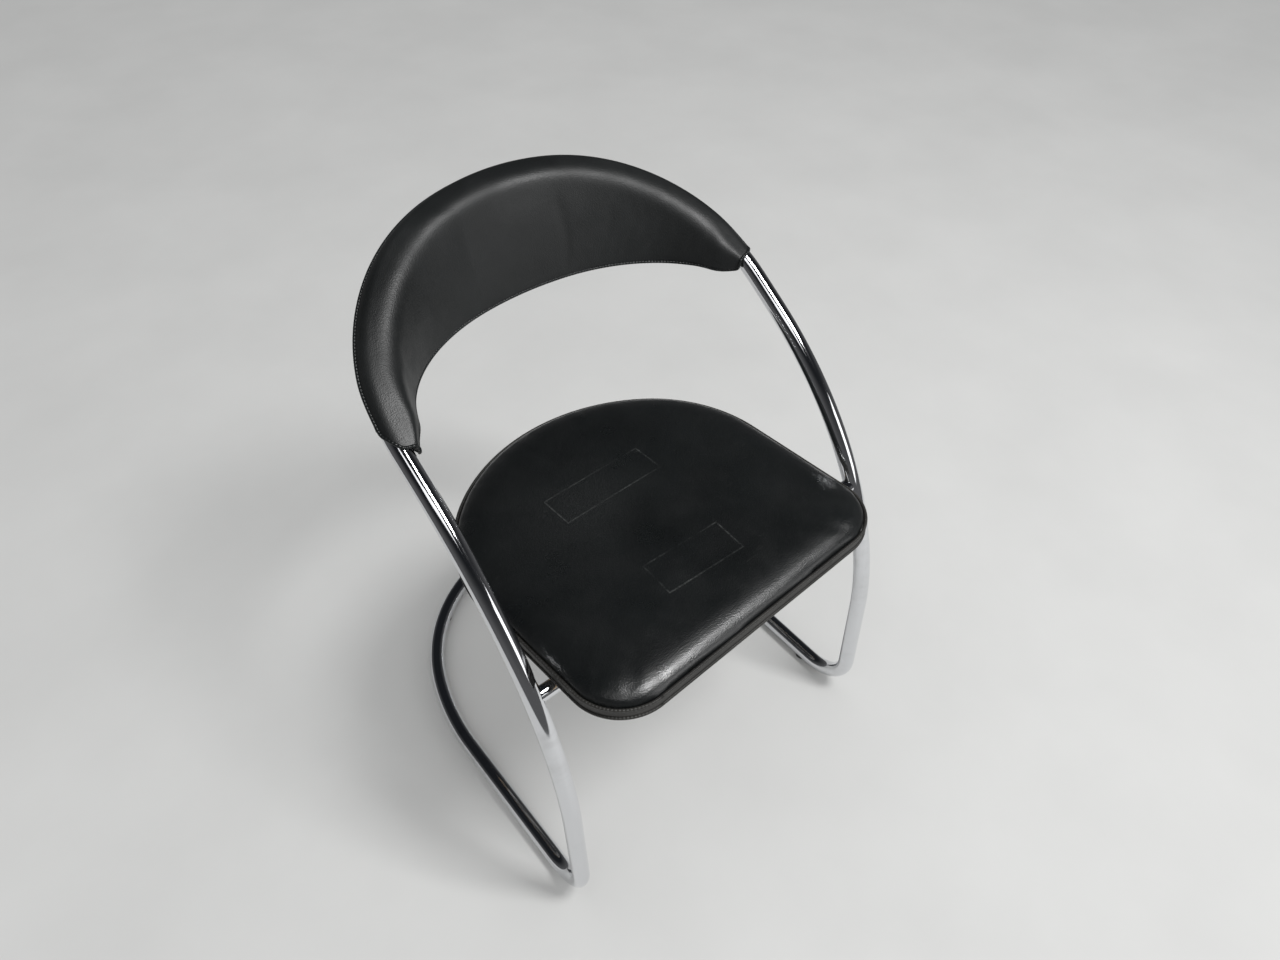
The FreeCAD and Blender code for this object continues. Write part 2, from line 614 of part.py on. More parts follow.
def seat_straps():
    """Flat bars welded across the seat support."""
    for name in ("front", "rear"):
        body = seat_body(f"seat_strap_{name}")
        underside = Placement(Vector(0, 0, -dim("strap_thick")), Rotation())
        sketch = new_sketch(body, "outline", "XY_Plane", underside,
                            {"AttachmentOffset.Base.z": "-Dims.strap_thick"})
        half = dim(f"{name}_strap_length") / 2
        low = dim(f"{name}_strap_y") - dim("strap_width") / 2
        high = low + dim("strap_width")
        corners = [(-half, low), (half, low), (half, high), (-half, high)]
        lines = [add_line(sketch, corners[i], corners[(i + 1) % 4]) for i in range(4)]
        for i in range(4):
            sketch.addConstraint(Sketcher.Constraint("Coincident", lines[i], END, lines[(i + 1) % 4], START))
        for i, kind in enumerate(("Horizontal", "Vertical", "Horizontal", "Vertical")):
            sketch.addConstraint(Sketcher.Constraint(kind, lines[i]))
        constrain(sketch, "length", f"Dims.{name}_strap_length", "Distance", lines[0], 2 * half)
        constrain(sketch, "width", "Dims.strap_width", "Distance", lines[1], dim("strap_width"))
        constrain(sketch, "left", f"-Dims.{name}_strap_length / 2",
                  "DistanceX", *ORIGIN, lines[0], START, -half)
        constrain(sketch, "low", f"Dims.{name}_strap_y - Dims.strap_width / 2",
                  "DistanceY", *ORIGIN, lines[0], START, low)
        screw_circles(sketch, "screw_hole", f"{name}_strap_y")
        pad(body, sketch, "Dims.strap_thick")
        keep(f"seat_strap_{name}", body)


def seat_outline(sketch, inset):
    """Closed outline of the seat, smaller by an inset given as an expression.

    The front edge is straight between rounded corners, and the back is a flattened round.
    """
    gap = sheet_value(inset)
    half = dim("seat_half_width") - gap
    front = dim("seat_front_y") + gap
    corner = dim("seat_corner_radius") - gap
    side = dim("seat_side_radius") - gap
    rear = dim("seat_rear_radius") - gap
    round_y = dim("seat_round_y")
    sweep = math.degrees(math.acos((half - side) / (rear - side)))
    rear_y = round_y + (side - rear) * math.sin(math.radians(sweep))
    front_line = add_line(sketch, (-half + corner, front), (half - corner, front))
    left_corner = add_arc(sketch, (half - corner, front + corner), corner, 270, 360)
    left_line = add_line(sketch, (half, front + corner), (half, round_y))
    left_round = add_arc(sketch, (half - side, round_y), side, 0, sweep)
    back = add_arc(sketch, (0, rear_y), rear, sweep, 180 - sweep)
    right_round = add_arc(sketch, (side - half, round_y), side, 180 - sweep, 180)
    right_line = add_line(sketch, (-half, round_y), (-half, front + corner))
    right_corner = add_arc(sketch, (-half + corner, front + corner), corner, 180, 270)
    chain = [front_line, left_corner, left_line, left_round, back, right_round, right_line, right_corner]
    for first, second in zip(chain, chain[1:] + chain[:1]):
        tangent(sketch, first, END, second, START)
    for index, alias, radius in ((left_corner, "seat_corner_radius", corner),
                                 (left_round, "seat_side_radius", side),
                                 (back, "seat_rear_radius", rear)):
        constrain(sketch, alias, f"Dims.{alias} - ({inset})", "Radius", index, radius)
    sketch.addConstraint(Sketcher.Constraint("Equal", left_corner, right_corner))
    sketch.addConstraint(Sketcher.Constraint("Equal", left_round, right_round))
    sketch.addConstraint(Sketcher.Constraint("PointOnObject", back, CENTRE, VERTICAL_AXIS))
    sketch.addConstraint(Sketcher.Constraint("Horizontal", front_line))
    constrain(sketch, "half_width", f"Dims.seat_half_width - ({inset})",
              "DistanceX", *ORIGIN, left_line, END, half)
    constrain(sketch, "round_y", "Dims.seat_round_y", "DistanceY", *ORIGIN, left_line, END, round_y)
    constrain(sketch, "front_y", f"Dims.seat_front_y + ({inset})",
              "DistanceY", *ORIGIN, front_line, START, front)


def sheet_value(expression):
    """Number that an expression on the sheet gives now."""
    return float(sheet.evalExpression(expression))


def turned_sketch(body, name, level):
    """Sketch for the padded seat: turned and shifted a little, at a level given as an expression."""
    place = Placement(Vector(dim("seat_shift_x"), 0, sheet_value(level)), Rotation(Z_AXIS, dim("seat_turn")))
    return new_sketch(body, name, "XY_Plane", place, {
        "AttachmentOffset.Base.x": "Dims.seat_shift_x",
        "AttachmentOffset.Base.z": level,
        "AttachmentOffset.Rotation.Angle": "Dims.seat_turn",
    })


def slab(label, inset, level, thickness):
    """Plate with the seat's outline."""
    body = seat_body(label)
    sketch = turned_sketch(body, "outline", level)
    seat_outline(sketch, inset)
    pad(body, sketch, thickness)
    return body


def drill(body, diameter, level):
    """Cut the seat screws' holes upwards through a plate."""
    sketch = new_sketch(body, "holes", "XY_Plane", Placement(Vector(0, 0, sheet_value(level)), Rotation()),
                        {"AttachmentOffset.Base.z": level})
    screw_circles(sketch, diameter)
    doc.recompute()
    before = body.Shape.Volume
    pocket = body.newObject("PartDesign::Pocket", f"{body.Name}_drilled")
    pocket.Profile = sketch
    pocket.Type = "ThroughAll"
    pocket.Reversed = True
    body.Tip = pocket
    doc.recompute()
    if body.Shape.Volume >= before:
        raise RuntimeError(f"{body.Label}: the holes cut nothing")


def round_top(body, expression):
    """Round the upper edges of a slab."""
    doc.recompute()
    base = body.Tip
    top = max(vertex.Point.z for vertex in base.Shape.Vertexes)
    names = []
    for number, edge in enumerate(base.Shape.Edges, start=1):
        if min(vertex.Point.z for vertex in edge.Vertexes) > top - 0.01:
            names.append(f"Edge{number}")
    fillet = body.newObject("PartDesign::Fillet", f"{body.Name}_rounded")
    fillet.Base = (base, names)
    body.Tip = fillet
    return bind(fillet, {"Radius": expression})


BOARD_LEVEL = "Dims.dust_cover_thick"
FOAM_LEVEL = "Dims.dust_cover_thick + Dims.board_thick"
BAND_TOP = "Dims.dust_cover_thick + Dims.band_height"
COVER_INSET = "Dims.board_inset - Dims.skin_gap"


def seat_pad():
    """Dust cover, board, foam, leather cover and edge band."""
    dust_cover = slab("seat_dust_cover", "Dims.dust_cover_inset", "0", "Dims.dust_cover_thick")
    drill(dust_cover, "screw_hole", "-1")
    keep("seat_dust_cover", dust_cover)
    board = slab("seat_board", "Dims.board_inset", BOARD_LEVEL, "Dims.board_thick")
    drill(board, "t_nut_hole", "-1")
    keep("seat_board", board)
    foam = slab("seat_foam_block", "Dims.board_inset", FOAM_LEVEL, "Dims.foam_thick")
    round_top(foam, "Dims.foam_edge_radius")
    flanges = [seat_primitive("Cylinder", f"foam_recess_{number}", {
        "Radius": "Dims.t_nut_flange_od / 2 + Dims.skin_gap",
        "Height": "Dims.t_nut_flange_thick + Dims.skin_gap"},
        Placement(Vector(sign * dim(x), dim(y), sheet_value(FOAM_LEVEL)), Rotation()))
        for number, (x, sign, y) in enumerate(seat_screw_places())]
    keep("seat_foam", boolean("Cut", "seat_foam", foam, compound("foam_recesses", flanges)))
    cover_top = "Dims.foam_thick + Dims.board_thick - Dims.band_height + Dims.leather_thick + Dims.skin_gap"
    outer = slab("seat_cover_outside", f"{COVER_INSET} - Dims.leather_thick", BAND_TOP, cover_top)
    round_top(outer, "Dims.foam_edge_radius + Dims.leather_thick")
    inner_top = "Dims.foam_thick + Dims.board_thick + Dims.skin_gap + 1"
    inner = slab("seat_cover_inside", COVER_INSET, "Dims.dust_cover_thick - 1", inner_top)
    round_top(inner, "Dims.foam_edge_radius")
    keep("seat_cover", boolean("Cut", "seat_cover", outer, inner))
    ring_outer = slab("edge_band_outside", f"{COVER_INSET} - Dims.leather_thick", BOARD_LEVEL,
                      "Dims.band_height - Dims.skin_gap")
    ring_inner = slab("edge_band_inside", COVER_INSET, "Dims.dust_cover_thick - 1", "Dims.band_height + 2")
    keep("seat_edge_band", boolean("Cut", "seat_edge_band", ring_outer, ring_inner))


def seat_welts():
    """Two round welts around the seat, at the lower and upper edges of the band."""
    inset = f"{COVER_INSET} - Dims.leather_thick - Dims.fit_gap - Dims.welt_od / 2"
    levels = {"lower": f"{BOARD_LEVEL} + Dims.welt_od / 2", "upper": BAND_TOP}
    for name, level in levels.items():
        body = seat_body(f"seat_{name}_welt")
        spine = turned_sketch(body, "path", level)
        seat_outline(spine, inset)
        turn = Rotation(Z_AXIS, dim("seat_turn"))
        gap = sheet_value(inset)
        start = Vector(dim("seat_shift_x"), 0, 0) + turn.multVec(Vector(0, dim("seat_front_y") + gap, 0))
        place = Placement(start + Vector(0, 0, sheet_value(level)), turn.multiply(Rotation(Y_AXIS, 90)))
        profile = new_sketch(body, "section", "XY_Plane", place)
        add_circle(profile, "outer", (0, 0), "Dims.welt_od")
        pipe(body, spine, 8, profile)
        keep(f"seat_{name}_welt", body)


def seat_fasteners():
    """Screws, washers and T-nuts that hold the seat board on its straps."""
    screws = []
    washers = []
    nuts = []
    for number, (x_alias, sign, y_alias) in enumerate(seat_screw_places()):
        def place(level):
            return Placement(Vector(sign * dim(x_alias), dim(y_alias), level), Rotation())
        under = -dim("strap_thick") - dim("washer_thick")
        shank = seat_primitive("Cylinder", f"screw_shank_{number}", {
            "Radius": "Dims.screw_od / 2", "Height": "Dims.screw_length"}, place(under))
        head = seat_primitive("Cylinder", f"screw_head_{number}", {
            "Radius": "Dims.screw_head_od / 2", "Height": "Dims.screw_head_height"},
            place(under - dim("screw_head_height")))
        key = seat_primitive("Prism", f"screw_key_{number}", {
            "Circumradius": "Dims.screw_key / 2 / cos(30 deg)", "Height": "Dims.screw_head_height / 2"},
            place(under - dim("screw_head_height")))
        whole = boolean("Fuse", f"screw_blank_{number}", head, shank)
        screws.append(boolean("Cut", f"seat_screw_{number}", whole, key))
        disc = seat_primitive("Cylinder", f"washer_disc_{number}", {
            "Radius": "Dims.washer_od / 2", "Height": "Dims.washer_thick"}, place(under))
        bore = seat_primitive("Cylinder", f"washer_bore_{number}", {
            "Radius": "Dims.screw_hole / 2", "Height": "Dims.washer_thick"}, place(under))
        washers.append(boolean("Cut", f"seat_washer_{number}", disc, bore))
        flange_level = sheet_value(FOAM_LEVEL)
        flange = seat_primitive("Cylinder", f"nut_flange_{number}", {
            "Radius": "Dims.t_nut_flange_od / 2", "Height": "Dims.t_nut_flange_thick"}, place(flange_level))
        barrel = seat_primitive("Cylinder", f"nut_barrel_{number}", {
            "Radius": "Dims.t_nut_barrel_od / 2", "Height": "Dims.t_nut_barrel_length"},
            place(flange_level - dim("t_nut_barrel_length")))
        thread = seat_primitive("Cylinder", f"nut_bore_{number}", {
            "Radius": "Dims.t_nut_bore / 2", "Height": "2 * Dims.t_nut_barrel_length"},
            place(flange_level - dim("t_nut_barrel_length")))
        nut = boolean("Fuse", f"nut_blank_{number}", flange, barrel)
        nuts.append(boolean("Cut", f"t_nut_{number}", nut, thread))
    keep("seat_screws", compound("seat_screws", screws))
    keep("seat_washers", compound("seat_washers", washers))
    keep("seat_t_nuts", compound("seat_t_nuts", nuts))


def staples():
    """Staples along the edge of the dust cover."""
    body = parts["seat_dust_cover"]
    outline = next(item for item in body.Group if item.Name.endswith("outline")).Shape.copy()
    row = outline.Wires[0].makeOffset2D(dim("dust_cover_inset") - dim("staple_inset"))
    points = row.discretize(Number=int(row.Length / dim("staple_pitch")) + 1)
    members = []
    for number, (point, following) in enumerate(zip(points, points[1:])):
        along = following - point
        angle = math.degrees(math.atan2(along.y, along.x))
        half = Vector(dim("staple_length") / 2, dim("staple_wire") / 2, 0)
        turn = Rotation(Z_AXIS, angle)
        corner = Vector(point.x, point.y, -dim("staple_wire")) - turn.multVec(half)
        members.append(seat_primitive("Box", f"staple_{number}", {
            "Length": "Dims.staple_length", "Width": "Dims.staple_wire", "Height": "Dims.staple_wire"},
            Placement(corner, turn)))
    keep("dust_cover_staples", compound("dust_cover_staples", members))


# Backrest. Its sections stand upright across the hoop: u points outwards from the tube's
# axis and v points up. Each section follows from how far it lies from the nearer end.


class Station:
    """One upright section of the backrest, at a distance along the hoop's tube."""

    def __init__(self, distance):
        side_radius = dim("hoop_side_radius")
        rear_radius = dim("hoop_rear_radius")
        run = dim("hoop_run")
        sweep = math.radians(hoop_sweep(side_radius, rear_radius))
        half = run + side_radius * sweep + rear_radius * (math.pi / 2 - sweep)
        sign = -1 if distance <= half else 1
        along = distance if distance <= half else 2 * half - distance
        if along <= run:
            x, y, heading = dim("half_span"), along, 0
        elif along <= run + side_radius * sweep:
            heading = (along - run) / side_radius
            x = dim("half_span") - side_radius * (1 - math.cos(heading))
            y = run + side_radius * math.sin(heading)
        else:
            heading = sweep + (along - run - side_radius * sweep) / rear_radius
            x = rear_radius * math.cos(heading)
            y = run + hoop_centre(side_radius, rear_radius) + rear_radius * math.sin(heading)
        tilt = math.radians(dim("hoop_angle"))
        hoop_start = side_points()[4]
        axis_z = dim("glide_height") + dim("tube_od") / 2
        self.centre = Vector(sign * x, hoop_start[0] + y * math.cos(tilt),
                             axis_z + hoop_start[1] + y * math.sin(tilt))
        plan = Vector(-sign * math.sin(heading), math.cos(heading) * math.cos(tilt), 0)
        plan.normalize()
        self.out = Vector(sign * plan.y, -sign * plan.x, 0)
        self.tangent = Vector(-sign * math.sin(heading), math.cos(heading) * math.cos(tilt),
                              math.cos(heading) * math.sin(tilt))
        self.stretch = 1 / math.hypot(self.tangent.x, self.tangent.y)
        self.height = self.centre.z - dim("back_low_z")
        part = min(1, max(0, 1 - (along - back_end(sign)) / dim("tip_length")))
        self.rounding = 1 - math.sqrt(1 - part * part)

    def towards_tip(self, value, tip_value):
        """Value that runs in a quarter round to another value at the backrest's end."""
        return value + (tip_value - value) * self.rounding

    def radius(self):
        """Radius of the leather's surface around the tube."""
        return self.towards_tip(dim("roll_radius"), dim("tip_radius"))

    def rim(self):
        """Inner rim of the roll, in the flat drawing."""
        reach = self.towards_tip(dim("rim_reach"), dim("tip_reach"))
        return self.flat(-reach, self.towards_tip(dim("rim_rise"), dim("tip_rim_rise")))

    def edge(self, across=0.0, upwards=0.0):
        """Lower edge of the inner face, in the flat drawing.

        across is the way through the edge, from 0 at the inner face to 1 at the back.
        """
        low = self.towards_tip(-self.height, -dim("tip_edge_drop"))
        reach = self.towards_tip(dim("face_reach"), dim("tip_reach")) - dim("face_lean") * min(low, 0)
        thick = self.towards_tip(dim("edge_thick"), dim("tip_edge_thick"))
        return self.flat(across * thick - reach, low + upwards)

    def section(self, wire):
        """Stand a flat drawing up across the hoop.

        The tube slopes, so an upright cut through it is taller than it is wide. Drawings
        are lower by that ratio, which keeps the arcs of the roll and the padding round.
        """
        side = self.out.cross(Z_AXIS)
        up = Z_AXIS * self.stretch
        columns = zip(self.out, up, side, self.centre)
        matrix = FreeCAD.Matrix(*[value for row in columns for value in row], 0, 0, 0, 1)
        return wire.transformGeometry(matrix)

    def flat(self, u, v):
        """Point of the flat drawing that ends up at u outwards and v above the tube's axis."""
        return Vector(u, v / self.stretch, 0)

    def loop(self, points):
        """Section with straight edges through points of the flat drawing."""
        return self.section(Part.makePolygon(points + points[:1]))


def hoop_length():
    """Length of the hoop's axis, straight ends included."""
    side_radius = dim("hoop_side_radius")
    rear_radius = dim("hoop_rear_radius")
    sweep = math.radians(hoop_sweep(side_radius, rear_radius))
    return 2 * (dim("hoop_run") + side_radius * sweep + rear_radius * (math.pi / 2 - sweep))


def back_end(sign):
    """End of the leather from the start of the hoop, on the sitter's right or left."""
    return dim("back_end") + sign * dim("back_slide")


def stations(starts, fractions):
    """Stations from one end of a back piece to the other, given where both ends start."""
    half = hoop_length() / 2
    right, left = [[start + (half - start) * fraction for fraction in fractions] for start in starts]
    return [Station(distance) for distance in right + [2 * half - item for item in reversed(left[:-1])]]


WHOLE = (0, 0.012, 0.03, 0.055, 0.09, 0.16, 0.3, 0.5, 0.75, 1)
INSIDE = (0, 0.1, 0.25, 0.45, 0.7, 1)


def polar(radius, angle):
    """Point of a flat drawing at a radius and an angle in radians."""
    return Vector(radius * math.cos(angle), radius * math.sin(angle), 0)


def leather_outside(station):
    """Section of the outer leather: over the roll, down the back and under the edge."""
    thick = dim("leather_thick")
    radius = station.radius()
    rim = station.rim()
    corner = station.edge(1, -1)
    lip = station.edge(1 / 3, -1)
    top = math.atan2(rim.y, rim.x) - math.acos(radius / rim.Length)
    below = math.atan2(corner.y, corner.x)
    below = below - 2 * math.pi if below > 0 else below
    foot = below + math.acos(radius / corner.Length)
    # The lower corner is mitred, so both faces of the leather stay parallel
    inwards = Vector(-math.cos(foot), -math.sin(foot), 0)
    mitre = (inwards + Y_AXIS).normalize()
    mitre = mitre * (thick / mitre.dot(inwards))
    faces = []
    for inset, corner_inset in ((0, Vector()), (thick, mitre)):
        up = Y_AXIS * inset
        high, middle, low = [polar(radius - inset, angle) for angle in (top, (top + foot) / 2, foot)]
        end = corner + corner_inset
        faces.append([Part.makeLine(rim - up, high), Part.Arc(high, middle, low).toShape(),
                      Part.makeLine(low, end), Part.makeLine(end, lip + up)])
    outside, inside = faces
    lip_cap = Part.makeLine(lip, lip + Y_AXIS * thick)
    rim_cap = Part.makeLine(rim - Y_AXIS * thick, rim)
    return station.section(Part.Wire(outside + [lip_cap] + inside[::-1] + [rim_cap]))


def leather_inside(station):
    """Section of the inner leather, from under the rim to the lower edge."""
    rim = station.rim()
    edge = station.edge()
    down = (edge - rim).normalize()
    across = Vector(-down.y, down.x, 0) * dim("leather_thick")
    top = rim + down * (dim("leather_thick") + 2 * dim("skin_gap"))
    return station.loop([top, edge, edge + across, top + across])


def shell_line(station):
    """Direction from the tube's axis to the shell's foot, the normal inwards, and the length."""
    foot = station.edge(1, dim("shell_thick"))
    length = foot.Length
    along = foot.normalize()
    return along, Vector(along.y, -along.x, 0), length


def shell_section(station):
    """Section of the back shell: a thin bar from under the tube to the lower edge."""
    along, inwards, length = shell_line(station)
    near = inwards * (dim("tab_thick") / 2 + dim("skin_gap"))
    far = near + inwards * dim("shell_thick")
    start = along * (dim("padding_radius") + dim("shell_thick"))
    end = along * length
    return station.loop([start + near, end + near, end + far, start + far])


def foam_section(station):
    """Section of the back foam, between the inner leather, the roll and the shell."""
    along, inwards, length = shell_line(station)
    gap = dim("skin_gap")
    skin = dim("leather_thick") + gap
    depth = inwards * (dim("tab_thick") / 2 + dim("shell_thick") + 3 * gap)
    head = along * (dim("padding_radius") + dim("shell_thick") / 2) + depth
    foot = along * length + depth
    rim = station.rim() + Vector(skin + 1, -skin - 1, 0)
    edge = station.edge(0, 2 * skin) + X_AXIS * (skin + 1)
    clear = -dim("padding_radius") - 2
    return station.loop([rim, edge, foot, head, Vector(clear, -1, 0), Vector(clear, rim.y, 0)])


def welt_section(station):
    """Round section of the back welt at the lower edge."""
    radius = dim("welt_od") / 2
    centre = station.edge(0.05, -radius - 1.2)
    return station.section(Part.Wire(Part.Circle(centre, Z_AXIS, radius).toShape()))


def loft(name, sections):
    """Solid through a row of closed sections."""
    feature = doc.addObject("Part::Feature", name)
    feature.Shape = Part.makeLoft(sections, True, False)
    return feature


def tab_stations():
    """Stations of the three hoop tabs."""
    half = hoop_length() / 2
    return {"right": Station(half - dim("tab_spacing")), "middle": Station(half),
            "left": Station(half + dim("tab_spacing"))}


def tab_placement(station, reach, side):
    """Placement at a reach from the tube's axis: X along the tube, Y to the shell, Z inwards."""
    along, inwards, length = shell_line(station)
    down = (station.out * along.x + Z_AXIS * along.y * station.stretch).normalize()
    level = (station.tangent - down * station.tangent.dot(down)).normalize()
    inner = level.cross(down)
    if inner.dot(station.out) > 0:
        level, inner = -level, -inner
    origin = station.centre + down * reach + level * side
    return Placement(origin, Rotation(level, down, inner, "XYZ"))


def backrest():
    """Tabs, padding, shell, foam, leather and welt of the backrest."""
    tabs = {}
    for name, station in tab_stations().items():
        start = dim("tube_od") / 2
        place = tab_placement(station, start, -dim("tab_width") / 2)
        place.Base -= place.Rotation.multVec(Z_AXIS) * dim("tab_thick") / 2
        plate = primitive("Box", f"tab_plate_{name}", {
            "Length": "Dims.tab_width", "Width": "Dims.tab_length - Dims.tube_od / 2",
            "Height": "Dims.tab_thick"}, place)
        hole_place = tab_placement(station, dim("tab_screw_reach"), 0)
        hole_place.Base -= hole_place.Rotation.multVec(Z_AXIS) * dim("tab_thick")
        hole = primitive("Cylinder", f"tab_hole_{name}", {
            "Radius": "Dims.tab_screw_od / 2 + Dims.fit_gap", "Height": "4 * Dims.tab_thick"}, hole_place)
        tube = primitive("Cylinder", f"tab_cope_{name}", {
            "Radius": "Dims.tube_od / 2 + 2 * Dims.skin_gap", "Height": "2 * Dims.tab_width"},
            Placement(station.centre - station.tangent * dim("tab_width"), Rotation(Z_AXIS, station.tangent)))
        drilled = boolean("Cut", f"tab_drilled_{name}", plate, hole)
        tab = keep(f"hoop_tab_{name}", boolean("Cut", f"hoop_tab_{name}", drilled, tube))
        tabs[name] = (tab, hole, station)
    keep("back_hoop", hoop_pipe("back_hoop", "hoop_run", "tube_od", "tube_bore"))
    sleeve = hoop_pipe("padding_sleeve", "hoop_run", "padding_radius * 2", "tube_od + 2 * Dims.skin_gap")
    middle = primitive("Box", "padding_reach", {
        "Length": "3 * Dims.half_span", "Width": "2 * Dims.hoop_rear_radius",
        "Height": "6 * Dims.padding_radius"}, padding_reach())
    padding = boolean("Common", "padding_trimmed", sleeve, middle)
    slots = [primitive("Box", f"tab_slot_{name}", {
        "Length": "Dims.tab_width + 2 * Dims.skin_gap", "Width": "Dims.tab_length",
        "Height": "Dims.tab_thick + 2 * Dims.skin_gap"}, slot_placement(station))
        for name, (tab, hole, station) in tabs.items()]
    keep("hoop_padding", boolean("Cut", "hoop_padding", padding, compound("tab_slots", slots)))
    ends = [dim("back_end") + dim("shell_start")] * 2
    blank = loft("back_shell_blank", [shell_section(station) for station in stations(ends, INSIDE)])
    holes = [primitive("Cylinder", f"shell_hole_{name}", {
        "Radius": "Dims.tab_screw_od / 2 + Dims.fit_gap", "Height": "4 * Dims.tab_thick"}, hole.Placement)
        for name, (tab, hole, station) in tabs.items()]
    keep("back_shell", boolean("Cut", "back_shell", blank, compound("shell_holes", holes)))
    ends = [dim("back_end") + dim("foam_start")] * 2
    keep("back_foam", loft("back_foam", [foam_section(item) for item in stations(ends, INSIDE)]))
    whole = stations([back_end(-1), back_end(1)], WHOLE)
    keep("back_inner_leather", loft("back_inner_leather", [leather_inside(item) for item in whole]))
    keep("back_outer_leather", loft("back_outer_leather", [leather_outside(item) for item in whole]))
    keep("back_welt", loft("back_welt", [welt_section(item) for item in whole]))
    screws = [tab_screw(name, station) for name, (tab, hole, station) in tabs.items()]
    keep("tab_screws", compound("tab_screws", screws))


def padding_reach():
    """Placement of the box that trims the foam sleeve: in the hoop's plane, from its start."""
    hoop_start = side_points()[4]
    origin = Vector(0, hoop_start[0], hoop_start[1] + dim("glide_height") + dim("tube_od") / 2)
    corner = Vector(-1.5 * dim("half_span"), dim("padding_start"), -3 * dim("padding_radius"))
    return Placement(origin, Rotation(X_AXIS, dim("hoop_angle"))).multiply(Placement(corner, Rotation()))


def slot_placement(station):
    """Placement of the slot that a hoop tab passes through in the padding."""
    gap = dim("skin_gap")
    place = tab_placement(station, dim("tube_od") / 2 - 1, -dim("tab_width") / 2 - gap)
    place.Base -= place.Rotation.multVec(Z_AXIS) * (dim("tab_thick") / 2 + gap)
    return place


def tab_screw(name, station):
    """Screw through a hoop tab into the back shell."""
    place = tab_placement(station, dim("tab_screw_reach"), 0)
    inwards = place.Rotation.multVec(Z_AXIS)
    face = place.Base - inwards * dim("tab_thick") / 2
    shank = primitive("Cylinder", f"tab_screw_shank_{name}", {
        "Radius": "Dims.tab_screw_od / 2", "Height": "Dims.tab_screw_length"},
        Placement(face, place.Rotation))
    head = primitive("Cylinder", f"tab_screw_head_{name}", {
        "Radius": "Dims.tab_screw_head_od / 2", "Height": "Dims.tab_screw_head_height"},
        Placement(face - inwards * dim("tab_screw_head_height"), place.Rotation))
    return boolean("Fuse", f"tab_screw_{name}", head, shank)


def check_support_meets_frame():
    """The seat support's ends have to run into the side tubes' axes."""
    drop = dim("strap_thick") + dim("support_od") / 2
    end = seat_placement().multVec(Vector(0, dim("support_y"), -drop))
    arc_centre = side_points()[3]
    axis_z = dim("glide_height") + dim("tube_od") / 2
    distance = math.hypot(end.y - arc_centre[0], end.z - arc_centre[1] - axis_z)
    print("seat support misses the side tube's axis by", round(distance - dim("side_arc_radius"), 2))
    if abs(distance - dim("side_arc_radius")) > 1.5:
        raise RuntimeError("the seat support's ends miss the side tubes")


def write_parts():
    """Check the document and write one STEP file for each piece."""
    doc.recompute()
    for item in doc.Objects:
        if "Invalid" in item.State or "Error" in item.State:
            raise RuntimeError(f"{item.Label}: {item.State}")
    os.makedirs("parts", exist_ok=True)
    for node, thing in parts.items():
        shape = thing.Shape
        if shape.isNull() or not shape.isValid() or not shape.Solids:
            raise RuntimeError(f"{node} has no valid solid")
        shape.exportStep(f"parts/{node}.step")
    box = Part.makeCompound([thing.Shape for thing in parts.values()]).BoundBox
    print(len(parts), "pieces", box)


base_tube()
side_tubes()
rail_spigots()
hoop_spigots()
glides()
seat_support()
seat_straps()
seat_pad()
seat_welts()
seat_fasteners()
doc.recompute()
staples()
backrest()
check_support_meets_frame()
write_parts()
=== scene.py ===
"""Cantilever chair of chromed steel tube with a padded seat and a padded hoop backrest.

The frame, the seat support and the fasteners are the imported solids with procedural
finishes. The upholstery is built here, in metres and in the same frame: +Z is up, the
chair faces -Y and +X is the sitter's left.
"""
import logging
import math
from dataclasses import dataclass, field
from enum import Enum
from typing import Callable, Iterable, Sequence

import bmesh
import bpy
from mathutils import Matrix, Vector, noise
from mathutils.kdtree import KDTree


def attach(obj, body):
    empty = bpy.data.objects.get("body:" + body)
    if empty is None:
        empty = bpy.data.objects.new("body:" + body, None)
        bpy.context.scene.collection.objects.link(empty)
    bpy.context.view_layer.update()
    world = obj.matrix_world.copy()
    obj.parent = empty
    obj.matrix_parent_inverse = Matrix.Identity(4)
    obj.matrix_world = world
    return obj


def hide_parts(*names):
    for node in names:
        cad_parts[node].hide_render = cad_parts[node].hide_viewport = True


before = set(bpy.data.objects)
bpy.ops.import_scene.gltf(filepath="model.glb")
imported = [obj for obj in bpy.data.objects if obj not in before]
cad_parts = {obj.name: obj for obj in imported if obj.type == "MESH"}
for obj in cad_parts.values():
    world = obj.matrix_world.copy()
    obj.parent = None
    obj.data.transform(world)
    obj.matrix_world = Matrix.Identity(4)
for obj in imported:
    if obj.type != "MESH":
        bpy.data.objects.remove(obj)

LOG = logging.getLogger("cantilever_chair")

Colour = tuple[float, float, float]


class Slot(Enum):
    """Material slots of the record; ring() is given one for each strip round the seat, but nothing reads it."""

    LEATHER = "black_leather"
    WORN_LEATHER = "worn_leather"
    DUST_CLOTH = "dust_cloth"


class Side(Enum):
    """Side of the chair as the sign of x. Left and right are the sitter's."""

    RIGHT = -1
    LEFT = 1


# Finishes


